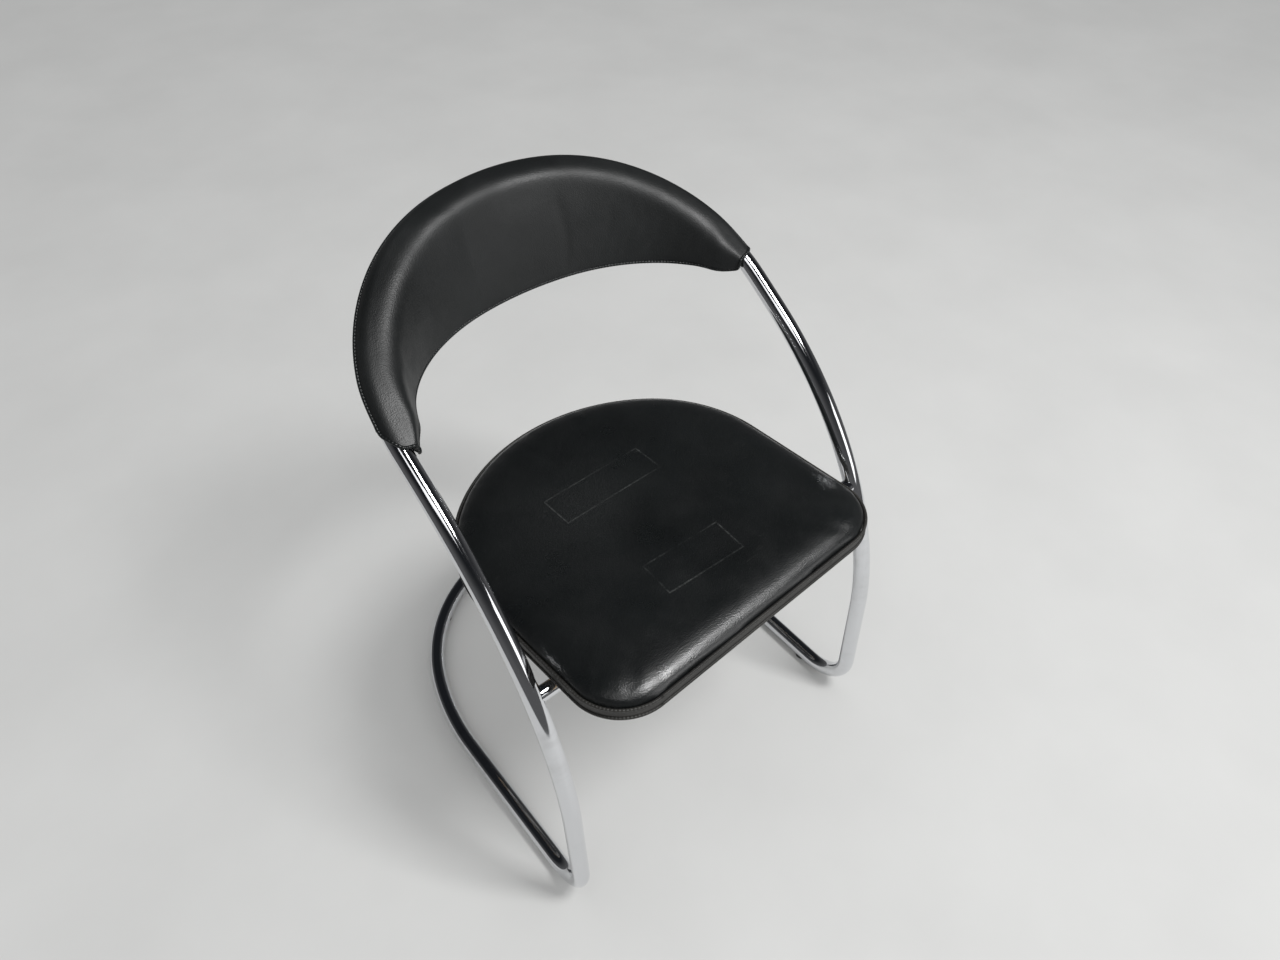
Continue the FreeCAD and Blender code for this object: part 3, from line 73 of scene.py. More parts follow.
class Graph:
    """Node tree of one material, with short calls for the nodes that the finishes share."""

    def __init__(self, name: str) -> None:
        """Start a material that holds one Principled shader.

        Args:
            name: name of the material.
        """
        self.material = bpy.data.materials.new(name)
        self.material.use_nodes = True
        self.tree = self.material.node_tree
        self.tree.nodes.clear()
        self.shader = self.tree.nodes.new("ShaderNodeBsdfPrincipled")
        output = self.tree.nodes.new("ShaderNodeOutputMaterial")
        self.tree.links.new(self.shader.outputs["BSDF"], output.inputs["Surface"])
        self.place = self.tree.nodes.new("ShaderNodeTexCoord").outputs["Object"]

    def node(self, kind: str, settings: dict | None = None, inputs: dict | None = None) -> bpy.types.Node:
        """Add a node.

        Args:
            kind: node type without the ShaderNode prefix.
            settings: attributes of the node.
            inputs: values or output sockets by input name or index.

        Returns:
            The new node.
        """
        made = self.tree.nodes.new(f"ShaderNode{kind}")
        for name, value in (settings or {}).items():
            setattr(made, name, value)
        for name, value in (inputs or {}).items():
            self.feed(made.inputs[name], value)
        return made

    def feed(self, socket: bpy.types.NodeSocket, value) -> None:
        """Link an output socket to an input, or set the input's value."""
        if isinstance(value, bpy.types.NodeSocket):
            self.tree.links.new(value, socket)
        else:
            socket.default_value = value

    def set(self, **inputs) -> None:
        """Feed inputs of the Principled shader; an underscore in a name stands for a space."""
        for name, value in inputs.items():
            if isinstance(value, tuple) and len(value) == 3:
                value = (*value, 1.0)
            self.feed(self.shader.inputs[name.replace("_", " ")], value)

    def mapped(self, scale: Sequence[float], turn: Sequence[float] = (0, 0, 0)) -> bpy.types.NodeSocket:
        """Object coordinates through a Mapping node."""
        made = self.node("Mapping", None, {"Vector": self.place})
        made.inputs["Scale"].default_value = scale
        made.inputs["Rotation"].default_value = turn
        return made.outputs["Vector"]

    def noise(self, scale: float, detail: float = 3.0, roughness: float = 0.55,
              vector: bpy.types.NodeSocket | None = None) -> bpy.types.NodeSocket:
        """Factor of a noise texture, in cycles per metre."""
        made = self.node("TexNoise", None, {
            "Vector": vector or self.place, "Scale": scale, "Detail": detail, "Roughness": roughness})
        return made.outputs["Fac"]

    def cells(self, scale: float, feature: str = "F1",
              vector: bpy.types.NodeSocket | None = None) -> bpy.types.NodeSocket:
        """Distance of a Voronoi texture, in cells per metre."""
        made = self.node("TexVoronoi", {"feature": feature}, {"Vector": vector or self.place, "Scale": scale})
        return made.outputs["Distance"]

    def span(self, value: bpy.types.NodeSocket, low: float, high: float,
             to_low: float = 0.0, to_high: float = 1.0) -> bpy.types.NodeSocket:
        """Clamped change of range."""
        made = self.node("MapRange", {"clamp": True}, {
            "Value": value, "From Min": low, "From Max": high, "To Min": to_low, "To Max": to_high})
        return made.outputs["Result"]

    def maths(self, operation: str, first, second=0.0, third=0.0) -> bpy.types.NodeSocket:
        """Result of a Math node."""
        return self.node("Math", {"operation": operation}, {0: first, 1: second, 2: third}).outputs["Value"]

    def blend(self, share: bpy.types.NodeSocket, first, second) -> bpy.types.NodeSocket:
        """Mix of two colours."""
        made = self.node("Mix", {"data_type": "RGBA"}, {"Factor": share})
        for name, value in (("A", first), ("B", second)):
            socket = next(item for item in made.inputs if item.name == name and item.type == "RGBA")
            self.feed(socket, (*value, 1.0) if isinstance(value, tuple) else value)
        return next(item for item in made.outputs if item.type == "RGBA")

    def bump(self, height: bpy.types.NodeSocket, depth: float, strength: float = 1.0,
             under: bpy.types.NodeSocket | None = None) -> bpy.types.NodeSocket:
        """Normal of a Bump node, over another bump if one is given."""
        made = self.node("Bump", None, {"Height": height, "Distance": depth, "Strength": strength})
        if under is not None:
            self.feed(made.inputs["Normal"], under)
        return made.outputs["Normal"]


@dataclass(frozen=True)
class Chrome:
    """Polished chromium plate with faint smears and fine pits."""

    name: str = "polished_chrome"
    bright: Colour = (0.74, 0.75, 0.77)
    hazy: Colour = (0.60, 0.60, 0.61)
    polish: float = 0.08
    smear: float = 0.16

    def make(self) -> bpy.types.Material:
        """Build the material."""
        graph = Graph(self.name)
        cloud = graph.noise(9.0, 4.0, 0.6)
        wiped = graph.noise(70.0, 3.0, 0.5, graph.mapped((0.25, 1.0, 1.0), (0.3, 0.2, 0.5)))
        haze = graph.maths("MULTIPLY", graph.span(cloud, 0.48, 0.72), graph.span(wiped, 0.4, 0.7))
        pits = graph.span(graph.cells(420.0), 0.035, 0.06, 1.0, 0.0)
        rare = graph.maths("MULTIPLY", pits, graph.span(graph.noise(22.0, 2.0), 0.6, 0.68))
        graph.set(
            Base_Color=graph.blend(graph.maths("MAXIMUM", haze, rare), self.bright, self.hazy),
            Metallic=1.0,
            Roughness=graph.span(graph.maths("MAXIMUM", haze, rare), 0.0, 1.0, self.polish, self.smear),
            Normal=graph.bump(graph.noise(30.0, 1.0), 0.00002, 0.2),
        )
        return graph.material


@dataclass(frozen=True)
class Steel:
    """Plain or zinc-plated steel with a spangle and light tarnish."""

    name: str
    base: Colour
    tarnish: Colour
    roughness: float = 0.38

    def make(self) -> bpy.types.Material:
        """Build the material."""
        graph = Graph(self.name)
        spangle = graph.cells(160.0)
        stain = graph.span(graph.noise(35.0, 4.0), 0.5, 0.75)
        drawn = graph.noise(600.0, 2.0, 0.5, graph.mapped((1.0, 0.05, 0.05)))
        graph.set(
            Base_Color=graph.blend(stain, graph.blend(spangle, self.base, self.tarnish), self.tarnish),
            Metallic=1.0,
            Roughness=graph.span(drawn, 0.2, 0.8, self.roughness - 0.08, self.roughness + 0.14),
            Normal=graph.bump(drawn, 0.00008, 0.5),
        )
        return graph.material


@dataclass(frozen=True)
class Leather:
    """Black leather with a fine grain, a satin sheen and rubbed places."""

    name: str
    dark: Colour = (0.0055, 0.0068, 0.0070)
    light: Colour = (0.0115, 0.0138, 0.0138)
    rubbed: Colour = (0.055, 0.056, 0.052)
    roughness: float = 0.34
    grain: float = 820.0
    grain_depth: float = 0.00022
    rub: float = 0.35
    stitch: float = 0.0
    specular: float = 0.55

    def make(self) -> bpy.types.Material:
        """Build the material."""
        graph = Graph(self.name)
        graph.set(Specular_IOR_Level=self.specular, Sheen_Weight=0.015, Sheen_Roughness=0.4)
        shade = graph.span(graph.noise(5.0, 5.0, 0.62), 0.35, 0.68)
        speck = graph.span(graph.noise(330.0, 3.0, 0.6), 0.42, 0.72)
        colour = graph.blend(shade, self.dark, self.light)
        colour = graph.blend(graph.maths("MULTIPLY", speck, 0.4), colour, self.light)
        patches = graph.span(graph.noise(26.0, 5.0, 0.7), 0.56, 0.74)
        threads = graph.span(graph.noise(420.0, 2.0, 0.6, graph.mapped((0.06, 1.0, 0.4), (0, 0, 0.6))), 0.62, 0.7)
        worn = graph.maths("MULTIPLY", graph.maths("MULTIPLY", patches, threads), self.rub)
        colour = graph.blend(worn, colour, self.rubbed)
        colour = self.marks(graph, colour)
        pebbles = graph.cells(self.grain, "SMOOTH_F1")
        creases = graph.noise(self.grain * 0.42, 4.0, 0.65)
        height = graph.maths("ADD", pebbles, graph.maths("MULTIPLY", creases, 0.9))
        normal = graph.bump(height, self.grain_depth, 0.85)
        normal = graph.bump(graph.noise(40.0, 2.0, 0.5), 0.0008, 0.12, normal)
        if self.stitch:
            normal = self.stitching(graph, normal)
        rough = graph.span(graph.noise(14.0, 4.0, 0.6), 0.3, 0.7, self.roughness - 0.06, self.roughness + 0.09)
        graph.set(Base_Color=colour, Roughness=graph.maths("ADD", rough, graph.maths("MULTIPLY", worn, 0.25)),
                  Normal=normal)
        return graph.material

    def marks(self, graph: Graph, colour: bpy.types.NodeSocket) -> bpy.types.NodeSocket:
        """Leave the colour as it is; a finish with marks of its own adds them here."""
        return colour

    def stitching(self, graph: Graph, under: bpy.types.NodeSocket) -> bpy.types.NodeSocket:
        """Row of puckers along a welt or seam, from the piece's own length attribute."""
        along = graph.node("Attribute", {"attribute_name": "along"}).outputs["Fac"]
        wave = graph.maths("SINE", graph.maths("MULTIPLY", along, 2 * math.pi / self.stitch))
        return graph.bump(wave, 0.00035, 0.6, under)


@dataclass(frozen=True)
class SeatLeather(Leather):
    """Seat leather with two faint oblong outlines where something was once stuck on."""

    residue: Colour = (0.11, 0.115, 0.11)
    oblongs: tuple[tuple[float, ...], ...] = (
        (-0.027, -0.031, 0.077, 0.025, math.radians(1.2)),
        (-0.020, -0.199, 0.058, 0.025, math.radians(-1.5)),
    )

    def marks(self, graph: Graph, colour: bpy.types.NodeSocket) -> bpy.types.NodeSocket:
        """Add the faint, broken residue along the outlines of the oblongs."""
        broken = graph.maths("MULTIPLY", graph.span(graph.noise(13.0, 3.0, 0.6), 0.40, 0.60),
                             graph.span(graph.noise(160.0, 6.0, 0.8), 0.36, 0.62))
        specks = graph.span(graph.cells(300.0), 0.10, 0.16, 1.0, 0.0)
        for x, y, half_x, half_y, turn in self.oblongs:
            own = graph.node("Mapping", {"vector_type": "TEXTURE"}, {"Vector": graph.place})
            own.inputs["Location"].default_value = (x, y, 0)
            own.inputs["Rotation"].default_value = (0, 0, turn)
            parts = graph.node("SeparateXYZ", None, {"Vector": own.outputs["Vector"]})
            across = graph.maths("SUBTRACT", graph.maths("ABSOLUTE", parts.outputs["X"]), half_x)
            deep = graph.maths("SUBTRACT", graph.maths("ABSOLUTE", parts.outputs["Y"]), half_y)
            edge = graph.maths("MAXIMUM", across, deep)
            line = graph.span(graph.maths("ABSOLUTE", edge), 0.0003, 0.0014, 1.0, 0.0)
            dust = graph.maths("MULTIPLY", specks, graph.span(graph.maths("ABSOLUTE", edge), 0.002, 0.022, 0.5, 0.0))
            share = graph.maths("MULTIPLY", graph.maths("MAXIMUM", line, dust), broken)
            colour = graph.blend(graph.maths("MULTIPLY", share, 0.5), colour, self.residue)
        return colour


@dataclass(frozen=True)
class Plain:
    """Moulded, woven, foamed or sawn stuff: a colour with grain, mottling and bump."""

    name: str
    base: Colour
    second: Colour
    roughness: float
    grain: float
    depth: float
    stretch: tuple[float, float, float] = (1.0, 1.0, 1.0)
    sheen: float = 0.0

    def make(self) -> bpy.types.Material:
        """Build the material."""
        graph = Graph(self.name)
        graph.set(Sheen_Weight=self.sheen)
        fibre = graph.noise(self.grain, 4.0, 0.65, graph.mapped(self.stretch))
        cloud = graph.noise(12.0, 3.0)
        share = graph.maths("ADD", graph.maths("MULTIPLY", fibre, 0.7), graph.maths("MULTIPLY", cloud, 0.3))
        graph.set(
            Base_Color=graph.blend(graph.span(share, 0.35, 0.65), self.base, self.second),
            Roughness=graph.span(fibre, 0.3, 0.7, self.roughness - 0.06, self.roughness + 0.08),
            Normal=graph.bump(fibre, self.depth, 0.7),
        )
        return graph.material


# Shapes


def finish_piece(mesh: bmesh.types.BMesh, name: str, material: bpy.types.Material) -> bpy.types.Object:
    """Make an object at the origin from a bmesh and let it ride on the chair.

    Args:
        mesh: finished bmesh in metres; it is freed.
        name: name of the piece.
        material: its finish.

    Returns:
        The new object.
    """
    bmesh.ops.recalc_face_normals(mesh, faces=mesh.faces)
    for face in mesh.faces:
        face.smooth = True
    data = bpy.data.meshes.new(name)
    mesh.to_mesh(data)
    mesh.free()
    piece = bpy.data.objects.new(name, data)
    bpy.context.scene.collection.objects.link(piece)
    data.materials.append(material)
    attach(piece, "root")
    return piece


def subdivide(piece: bpy.types.Object) -> None:
    """Add a Subdivision Surface modifier of one level in the view and the render."""
    modifier = piece.modifiers.new("rounding", "SUBSURF")
    modifier.levels = modifier.render_levels = 1


def sweep(rings: Sequence[Sequence[Vector]], closed: bool) -> bmesh.types.BMesh:
    """Tube through a row of equal rings of points.

    Args:
        rings: the rings, each with the same number of points.
        closed: the last ring joins the first; otherwise both ends are capped.

    Returns:
        A bmesh with a float layer named along, the distance from the first ring.
    """
    mesh = bmesh.new()
    along = mesh.verts.layers.float.new("along")
    first = bmesh.ops.create_circle(mesh, segments=len(rings[0]), radius=1.0)["verts"]
    ring = list(first)
    edges = list(mesh.edges)
    distance = 0.0
    for vertex, place in zip(ring, rings[0]):
        vertex.co = place
    if not closed:
        bmesh.ops.contextual_create(mesh, geom=edges)
    for before, places in zip(rings, rings[1:]):
        distance += sum((b - a).length for a, b in zip(before, places)) / len(places)
        made = bmesh.ops.extrude_edge_only(mesh, edges=edges)["geom"]
        edges = [item for item in made if isinstance(item, bmesh.types.BMEdge)]
        new = [item for item in made if isinstance(item, bmesh.types.BMVert)]
        ring = follow(ring, new)
        ring_set = set(ring)
        edges = [edge for edge in edges if edge.verts[0] in ring_set and edge.verts[1] in ring_set]
        for vertex, place in zip(ring, places):
            vertex.co = place
            vertex[along] = distance
    if closed:
        bmesh.ops.bridge_loops(mesh, edges=edges + [edge for edge in mesh.edges if edge.verts[0] in set(first)
                                                    and edge.verts[1] in set(first)])
    else:
        bmesh.ops.contextual_create(mesh, geom=edges)
    return mesh


def unit_circle(sides: int) -> list[tuple[float, float]]:
    """Corners of a regular polygon on the unit circle."""
    turns = [math.tau * step / sides for step in range(sides)]
    return [(math.cos(turn), math.sin(turn)) for turn in turns]


def follow(ring: Sequence[bmesh.types.BMVert], new: Iterable[bmesh.types.BMVert]) -> list[bmesh.types.BMVert]:
    """New vertices of an extrusion in the order of the ring they came from."""
    made = set(new)
    return [next(edge.other_vert(vertex) for edge in vertex.link_edges if edge.other_vert(vertex) in made)
            for vertex in ring]


@dataclass(frozen=True)
class Inflation:
    """Air pressure that crowns a padded piece, with a limit on how far it may swell."""

    cap: float
    pressure: float = 4.0
    frames: int = 20
    voxel: float = 0.0

    def swell(self, piece: bpy.types.Object, held: Callable[[Vector], float]) -> None:
        """Run the cloth simulation and keep its result in the piece's mesh.

        Args:
            piece: closed mesh object at the origin.
            held: share from 0 to 1 by which a point stays where it is.
        """
        if self.voxel:
            self.remesh(piece)
        scene = bpy.context.scene
        data = piece.data
        rest = [vertex.co.copy() for vertex in data.vertices]
        group = piece.vertex_groups.new(name="held")
        for index, place in enumerate(rest):
            group.add([index], held(place), "REPLACE")
        cloth = piece.modifiers.new("air", "CLOTH")
        settings = cloth.settings
        settings.quality = 6
        settings.mass = 0.3
        settings.use_pressure = True
        settings.uniform_pressure_force = self.pressure
        settings.effector_weights.gravity = 0.0
        settings.vertex_group_mass = group.name
        cloth.point_cache.frame_start = 1
        cloth.point_cache.frame_end = self.frames
        for number in range(1, self.frames + 1):
            scene.frame_set(number)
        swollen = piece.evaluated_get(bpy.context.evaluated_depsgraph_get()).data
        moves = [after.co - before for after, before in zip(swollen.vertices, rest)]
        furthest = max(move.length for move in moves)
        share = min(1.0, self.cap / max(furthest, 1e-9))
        piece.modifiers.remove(cloth)
        piece.vertex_groups.remove(group)
        scene.frame_set(1)
        for vertex, before, move in zip(data.vertices, rest, moves):
            vertex.co = before + move * share
        LOG.info("%s swells %.1f mm, kept to %.1f mm", piece.name, furthest * 1000, furthest * share * 1000)

    def remesh(self, piece: bpy.types.Object) -> None:
        """Give the piece an even skin of quads."""
        modifier = piece.modifiers.new("even_skin", "REMESH")
        modifier.mode = "VOXEL"
        modifier.voxel_size = self.voxel
        modifier.use_smooth_shade = True
        even = bpy.data.meshes.new_from_object(piece.evaluated_get(bpy.context.evaluated_depsgraph_get()))
        materials = list(piece.data.materials)
        piece.modifiers.remove(modifier)
        piece.data = even
        even.materials.clear()
        for material in materials:
            even.materials.append(material)


# Frame


@dataclass
class TubeFrame:
    """Chromed tubes, floor glides and the steel parts under the seat."""

    chrome: Chrome = Chrome()
    tubes: tuple[str, ...] = ("base_tube", "side_tube_left", "side_tube_right", "back_hoop", "seat_support")
    bare: tuple[str, ...] = ("rail_spigot_left", "rail_spigot_right", "hoop_spigot_left", "hoop_spigot_right",
                             "hoop_tab_left", "hoop_tab_middle", "hoop_tab_right",
                             "seat_strap_front", "seat_strap_rear")
    zinc: tuple[str, ...] = ("seat_screws", "seat_washers", "seat_t_nuts", "dust_cover_staples", "tab_screws")
    glides: tuple[str, ...] = ("glide_front_left", "glide_front_right", "glide_rear_left", "glide_rear_right")

    def dress(self) -> None:
        """Give every steel and nylon node its finish."""
        bare = Steel("bare_steel", (0.44, 0.44, 0.43), (0.26, 0.25, 0.24))
        zinc = Steel("zinc_steel", (0.62, 0.62, 0.58), (0.42, 0.42, 0.40), 0.30)
        nylon = Plain("black_nylon", (0.018, 0.018, 0.019), (0.035, 0.035, 0.036), 0.45, 700.0, 0.0001)
        for nodes, finish in ((self.tubes, self.chrome), (self.bare, bare), (self.zinc, zinc), (self.glides, nylon)):
            material = finish.make()
            for node in nodes:
                wear_material(node, material)
            LOG.info("%s on %s", material.name, ", ".join(nodes))


def wear_material(node: str, material: bpy.types.Material) -> None:
    """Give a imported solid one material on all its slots."""
    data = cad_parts[node].data
    data.materials.clear()
    data.materials.append(material)


# Seat


@dataclass
class SeatPad:
    """Padded seat: crowned cover, edge band between two welts, board and dust cover.

    Insets are distances inside the seat's edge; levels are heights in the seat's own frame.
    """

    origin: Vector = field(default_factory=lambda: Vector((0.0, 0.0105, 0.4386)))
    tilt: float = math.radians(-3.0)
    turn: float = math.radians(2.8)
    shift_x: float = -0.018
    half_width: float = 0.233
    front_y: float = -0.318
    round_y: float = -0.083
    side_radius: float = 0.195
    rear_radius: float = 0.255
    corner_radius: float = 0.068
    band_low: float = 0.0008
    band_inset: float = 0.0004
    band_bulge: float = 0.0011
    band_top: float = 0.0178
    cover_top: float = 0.0355
    cover_inset: float = 0.0014
    tuck_inset: float = 0.0018
    held_height: float = 0.003
    skin_voxel: float = 0.006
    shoulder: float = 0.036
    tuck: float = 0.010
    shoulder_steps: int = 10
    welt_radius: float = 0.002
    welt_inset: float = -0.0008
    cloth_inset: float = 0.009
    cloth_thick: float = 0.0004
    cloth_ripple: float = 0.0003
    crown: float = 0.005

    def placement(self) -> Matrix:
        """From the seat's own flat drawing to its place on the chair."""
        return (Matrix.Translation(self.origin) @ Matrix.Rotation(self.tilt, 4, "X")
                @ Matrix.Translation((self.shift_x, 0, 0)) @ Matrix.Rotation(self.turn, 4, "Z"))

    def outline(self, inset: float, step: float = math.radians(6), run: float = 0.02) -> bmesh.types.BMesh:
        """Closed outline in the seat's plane, traced anticlockwise by extruding and spinning a point.

        Args:
            inset: distance inside the seat's edge.
            step: angle between points on a bend.
            run: distance between points on a straight.

        Returns:
            A bmesh of one ring of edges.
        """
        half = self.half_width - inset
        front = self.front_y + inset
        corner = self.corner_radius - inset
        side = self.side_radius - inset
        rear = self.rear_radius - inset
        sweep_angle = math.acos((half - side) / (rear - side))
        rear_y = self.round_y + (side - rear) * math.sin(sweep_angle)
        mesh = bmesh.new()
        tip = bmesh.ops.create_vert(mesh, co=(corner - half, front, 0))["vert"][0]

        def straight(x: float, y: float, nominal: float) -> None:
            """Draw a straight to a point, in steps that don't change with the inset."""
            nonlocal tip
            count = max(1, round(nominal / run))
            move = (Vector((x, y, 0)) - tip.co) / count
            for _ in range(count):
                made = bmesh.ops.extrude_vert_indiv(mesh, verts=[tip])["verts"][0]
                made.co = tip.co + move
                tip = made

        def bend(x: float, y: float, angle: float) -> None:
            """Draw an arc round a centre, anticlockwise by an angle."""
            nonlocal tip
            made = bmesh.ops.spin(mesh, geom=[tip], cent=(x, y, 0), axis=(0, 0, 1), dvec=(0, 0, 0),
                                  angle=angle, steps=max(2, round(angle / step)), use_duplicate=False)
            tip = next(item for item in made["geom_last"] if isinstance(item, bmesh.types.BMVert))

        across = 2 * (self.half_width - self.corner_radius)
        deep = self.round_y - self.front_y - self.corner_radius
        straight(half - corner, front, across)
        bend(half - corner, front + corner, math.pi / 2)
        straight(half, self.round_y, deep)
        bend(half - side, self.round_y, sweep_angle)
        bend(0, rear_y, math.pi - 2 * sweep_angle)
        bend(side - half, self.round_y, sweep_angle)
        straight(-half, front + corner, deep)
        bend(corner - half, front + corner, math.pi / 2)
        bmesh.ops.remove_doubles(mesh, verts=mesh.verts, dist=1e-5)
        return mesh

    def outline_points(self, inset: float, **density: float) -> list[Vector]:
        """Points of the outline in order."""
        mesh = self.outline(inset, **density)
        start = min(mesh.verts, key=lambda vertex: (round(vertex.co.y, 5), vertex.co.x))
        points = [start.co.copy()]
        edge = max(start.link_edges, key=lambda item: item.other_vert(start).co.x)
        vertex = edge.other_vert(start)
        while vertex is not start:
            points.append(vertex.co.copy())
            edge = next(item for item in vertex.link_edges if item is not edge)
            vertex = edge.other_vert(vertex)
        mesh.free()
        return points

    def cover(self, material: bpy.types.Material) -> bpy.types.Object:
        """Crowned leather cover over the foam, held along the upper welt."""
        rings = [[point + Vector((0, 0, self.band_top - self.tuck))
                  for point in self.outline_points(self.tuck_inset)]]
        for step in range(self.shoulder_steps + 1):
            turn = math.pi / 2 * step / self.shoulder_steps
            level = self.band_top + (self.cover_top - self.band_top) * math.sin(turn)
            rings.append([point + Vector((0, 0, level)) for point
                          in self.outline_points(self.cover_inset + self.shoulder * (1 - math.cos(turn)))])
        mesh = sweep(rings, closed=False)
        place = self.placement()
        bmesh.ops.transform(mesh, matrix=place, verts=mesh.verts)
        piece = finish_piece(mesh, "seat_padded_cover", material)
        back = place.inverted()
        held_top = self.band_top + self.held_height
        Inflation(cap=self.crown, voxel=self.skin_voxel).swell(
            piece, lambda point: 1.0 if (back @ point).z < held_top else 0.0)
        subdivide(piece)
        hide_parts("seat_cover", "seat_foam")
        return piece

    def ring(self, name: str, section: Sequence[tuple[float, float]], inset: float, level: float,
             material: bpy.types.Material, slot: Slot, replaced: str) -> bpy.types.Object:
        """Closed strip round the seat with a small section.

        Args:
            name: name of the piece.
            section: points as (outwards, up) around its line.
            inset: its line's distance inside the seat's edge.
            level: height of its line in the seat's frame.
            material: finish.
            slot: the record's slot; not used.
            replaced: node that it stands for.

        Returns:
            The new object.
        """
        line = self.outline_points(inset, step=math.radians(3), run=0.006)
        place = self.placement()
        rings = []
        for index, point in enumerate(line):
            ahead = (line[(index + 1) % len(line)] - line[index - 1]).normalized()
            out = Vector((ahead.y, -ahead.x, 0))
            rings.append([place @ (point + out * u + Vector((0, 0, level + v))) for u, v in section])
        piece = finish_piece(sweep(rings, closed=True), name, material)
        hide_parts(replaced)
        return piece

    def band(self, material: bpy.types.Material) -> bpy.types.Object:
        """Worn strip of leather round the edge, bulging a little between the welts."""
        high = self.band_top - self.band_low
        outer = [(0.0001 + self.band_bulge * math.sin(math.pi * step / 8), high * step / 8) for step in range(9)]
        inner = [(-0.0013, high * step / 4) for step in range(4, -1, -1)]
        return self.ring("seat_worn_band", outer + inner, self.band_inset, self.band_low, material,
                         Slot.WORN_LEATHER, "seat_edge_band")

    def welts(self, material: bpy.types.Material) -> list[bpy.types.Object]:
        """The two welts, one at each edge of the band."""
        circle = [tuple(self.welt_radius * part for part in unit) for unit in unit_circle(12)]
        return [self.ring(f"seat_{name}_piping", circle, self.welt_inset, level, material, Slot.LEATHER,
                          f"seat_{name}_welt")
                for name, level in (("upper", self.band_top), ("lower", self.band_low + self.welt_radius))]

    def underside(self, material: bpy.types.Material) -> bpy.types.Object:
        """Dust cover: a thin cloth stretched under the board and stapled along its edge."""
        mesh = self.outline(self.cloth_inset, step=math.radians(4), run=0.015)
        bmesh.ops.contextual_create(mesh, geom=list(mesh.edges))
        bmesh.ops.triangulate(mesh, faces=list(mesh.faces))
        for _ in range(2):
            bmesh.ops.subdivide_edges(mesh, edges=[edge for edge in mesh.edges if edge.calc_length() > 0.02],
                                      cuts=2, use_grid_fill=True)
        for vertex in mesh.verts:
            ripple = noise.noise(Vector((vertex.co.x * 22, vertex.co.y * 30, 1.7)))
            vertex.co.z = self.cloth_thick + self.cloth_ripple * ripple
        made = bmesh.ops.extrude_face_region(mesh, geom=list(mesh.faces))["geom"]
        lifted = [item for item in made if isinstance(item, bmesh.types.BMVert)]
        bmesh.ops.translate(mesh, verts=lifted, vec=(0, 0, self.cloth_thick))
        bmesh.ops.transform(mesh, matrix=self.placement(), verts=mesh.verts)
        piece = finish_piece(mesh, "seat_dust_cloth", material)
        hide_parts("seat_dust_cover")
        return piece

    def build(self) -> list[bpy.types.Object]:
        """Build and dress the whole pad."""
        plywood = Plain("birch_plywood", (0.50, 0.34, 0.19), (0.62, 0.46, 0.29), 0.55, 260.0, 0.0001,
                        (1.0, 0.08, 1.0))
        wear_material("seat_board", plywood.make())
        worn = Leather("worn_band_leather", (0.016, 0.015, 0.014), (0.045, 0.043, 0.039), (0.14, 0.13, 0.12),
                       0.52, 700.0, 0.0003, 0.9)
        piping = Leather("piping_leather", (0.012, 0.012, 0.011), (0.040, 0.038, 0.034), (0.13, 0.12, 0.11),
                         0.46, 900.0, 0.00015, 0.8, 0.0042)
        cloth = Plain("dust_cloth", (0.012, 0.012, 0.013), (0.030, 0.030, 0.031), 0.85, 1300.0, 0.0002, sheen=0.2)
        leather = SeatLeather("seat_leather", dark=(0.0038, 0.0048, 0.0050), light=(0.0080, 0.0098, 0.0100),
                              roughness=0.305, specular=1.0)
        piping_material = piping.make()
        return [self.cover(leather.make()), self.band(worn.make()),
                *self.welts(piping_material), self.underside(cloth.make())]


# Backrest


@dataclass(frozen=True)
class EndCut:
    """Slanted end of the leather: cut back outside and below, furthest down the tube inside."""

    lead: float
    outwards: float
    upwards: float
    furthest: float
    fade: float = 0.080

    def slide(self, u: float, rise: float, from_end: float) -> float:
        """How far a point moves along the tube, towards the middle of the hoop.

        Args:
            u: distance outwards from the tube's axis.
            rise: height above the tube's axis.
            from_end: distance of its section from the nominal end.

        Returns:
            Distance along the tube.
        """
        whole = max(-self.furthest, self.lead + self.outwards * u - self.upwards * rise)
        return whole * max(0.0, 1 - from_end / self.fade)


@dataclass
class HoopStation:
    """Upright section across the hoop at one distance along its tube."""

    centre: Vector
    out: Vector
    tangent: Vector
    stretch: float
    rounding: float
    drop: float
    from_end: float
    cut: EndCut

    def point(self, u: float, v: float) -> Vector:
        """Place of a point of the flat drawing: u outwards, v up before the stretch."""
        slid = self.tangent * self.cut.slide(u, v * self.stretch, self.from_end)
        return self.centre + self.out * u + Vector((0, 0, v * self.stretch)) + slid

    def towards_tip(self, value: float, tip_value: float) -> float:
        """Value that runs in a quarter round to another value at the backrest's end."""
        return value + (tip_value - value) * self.rounding


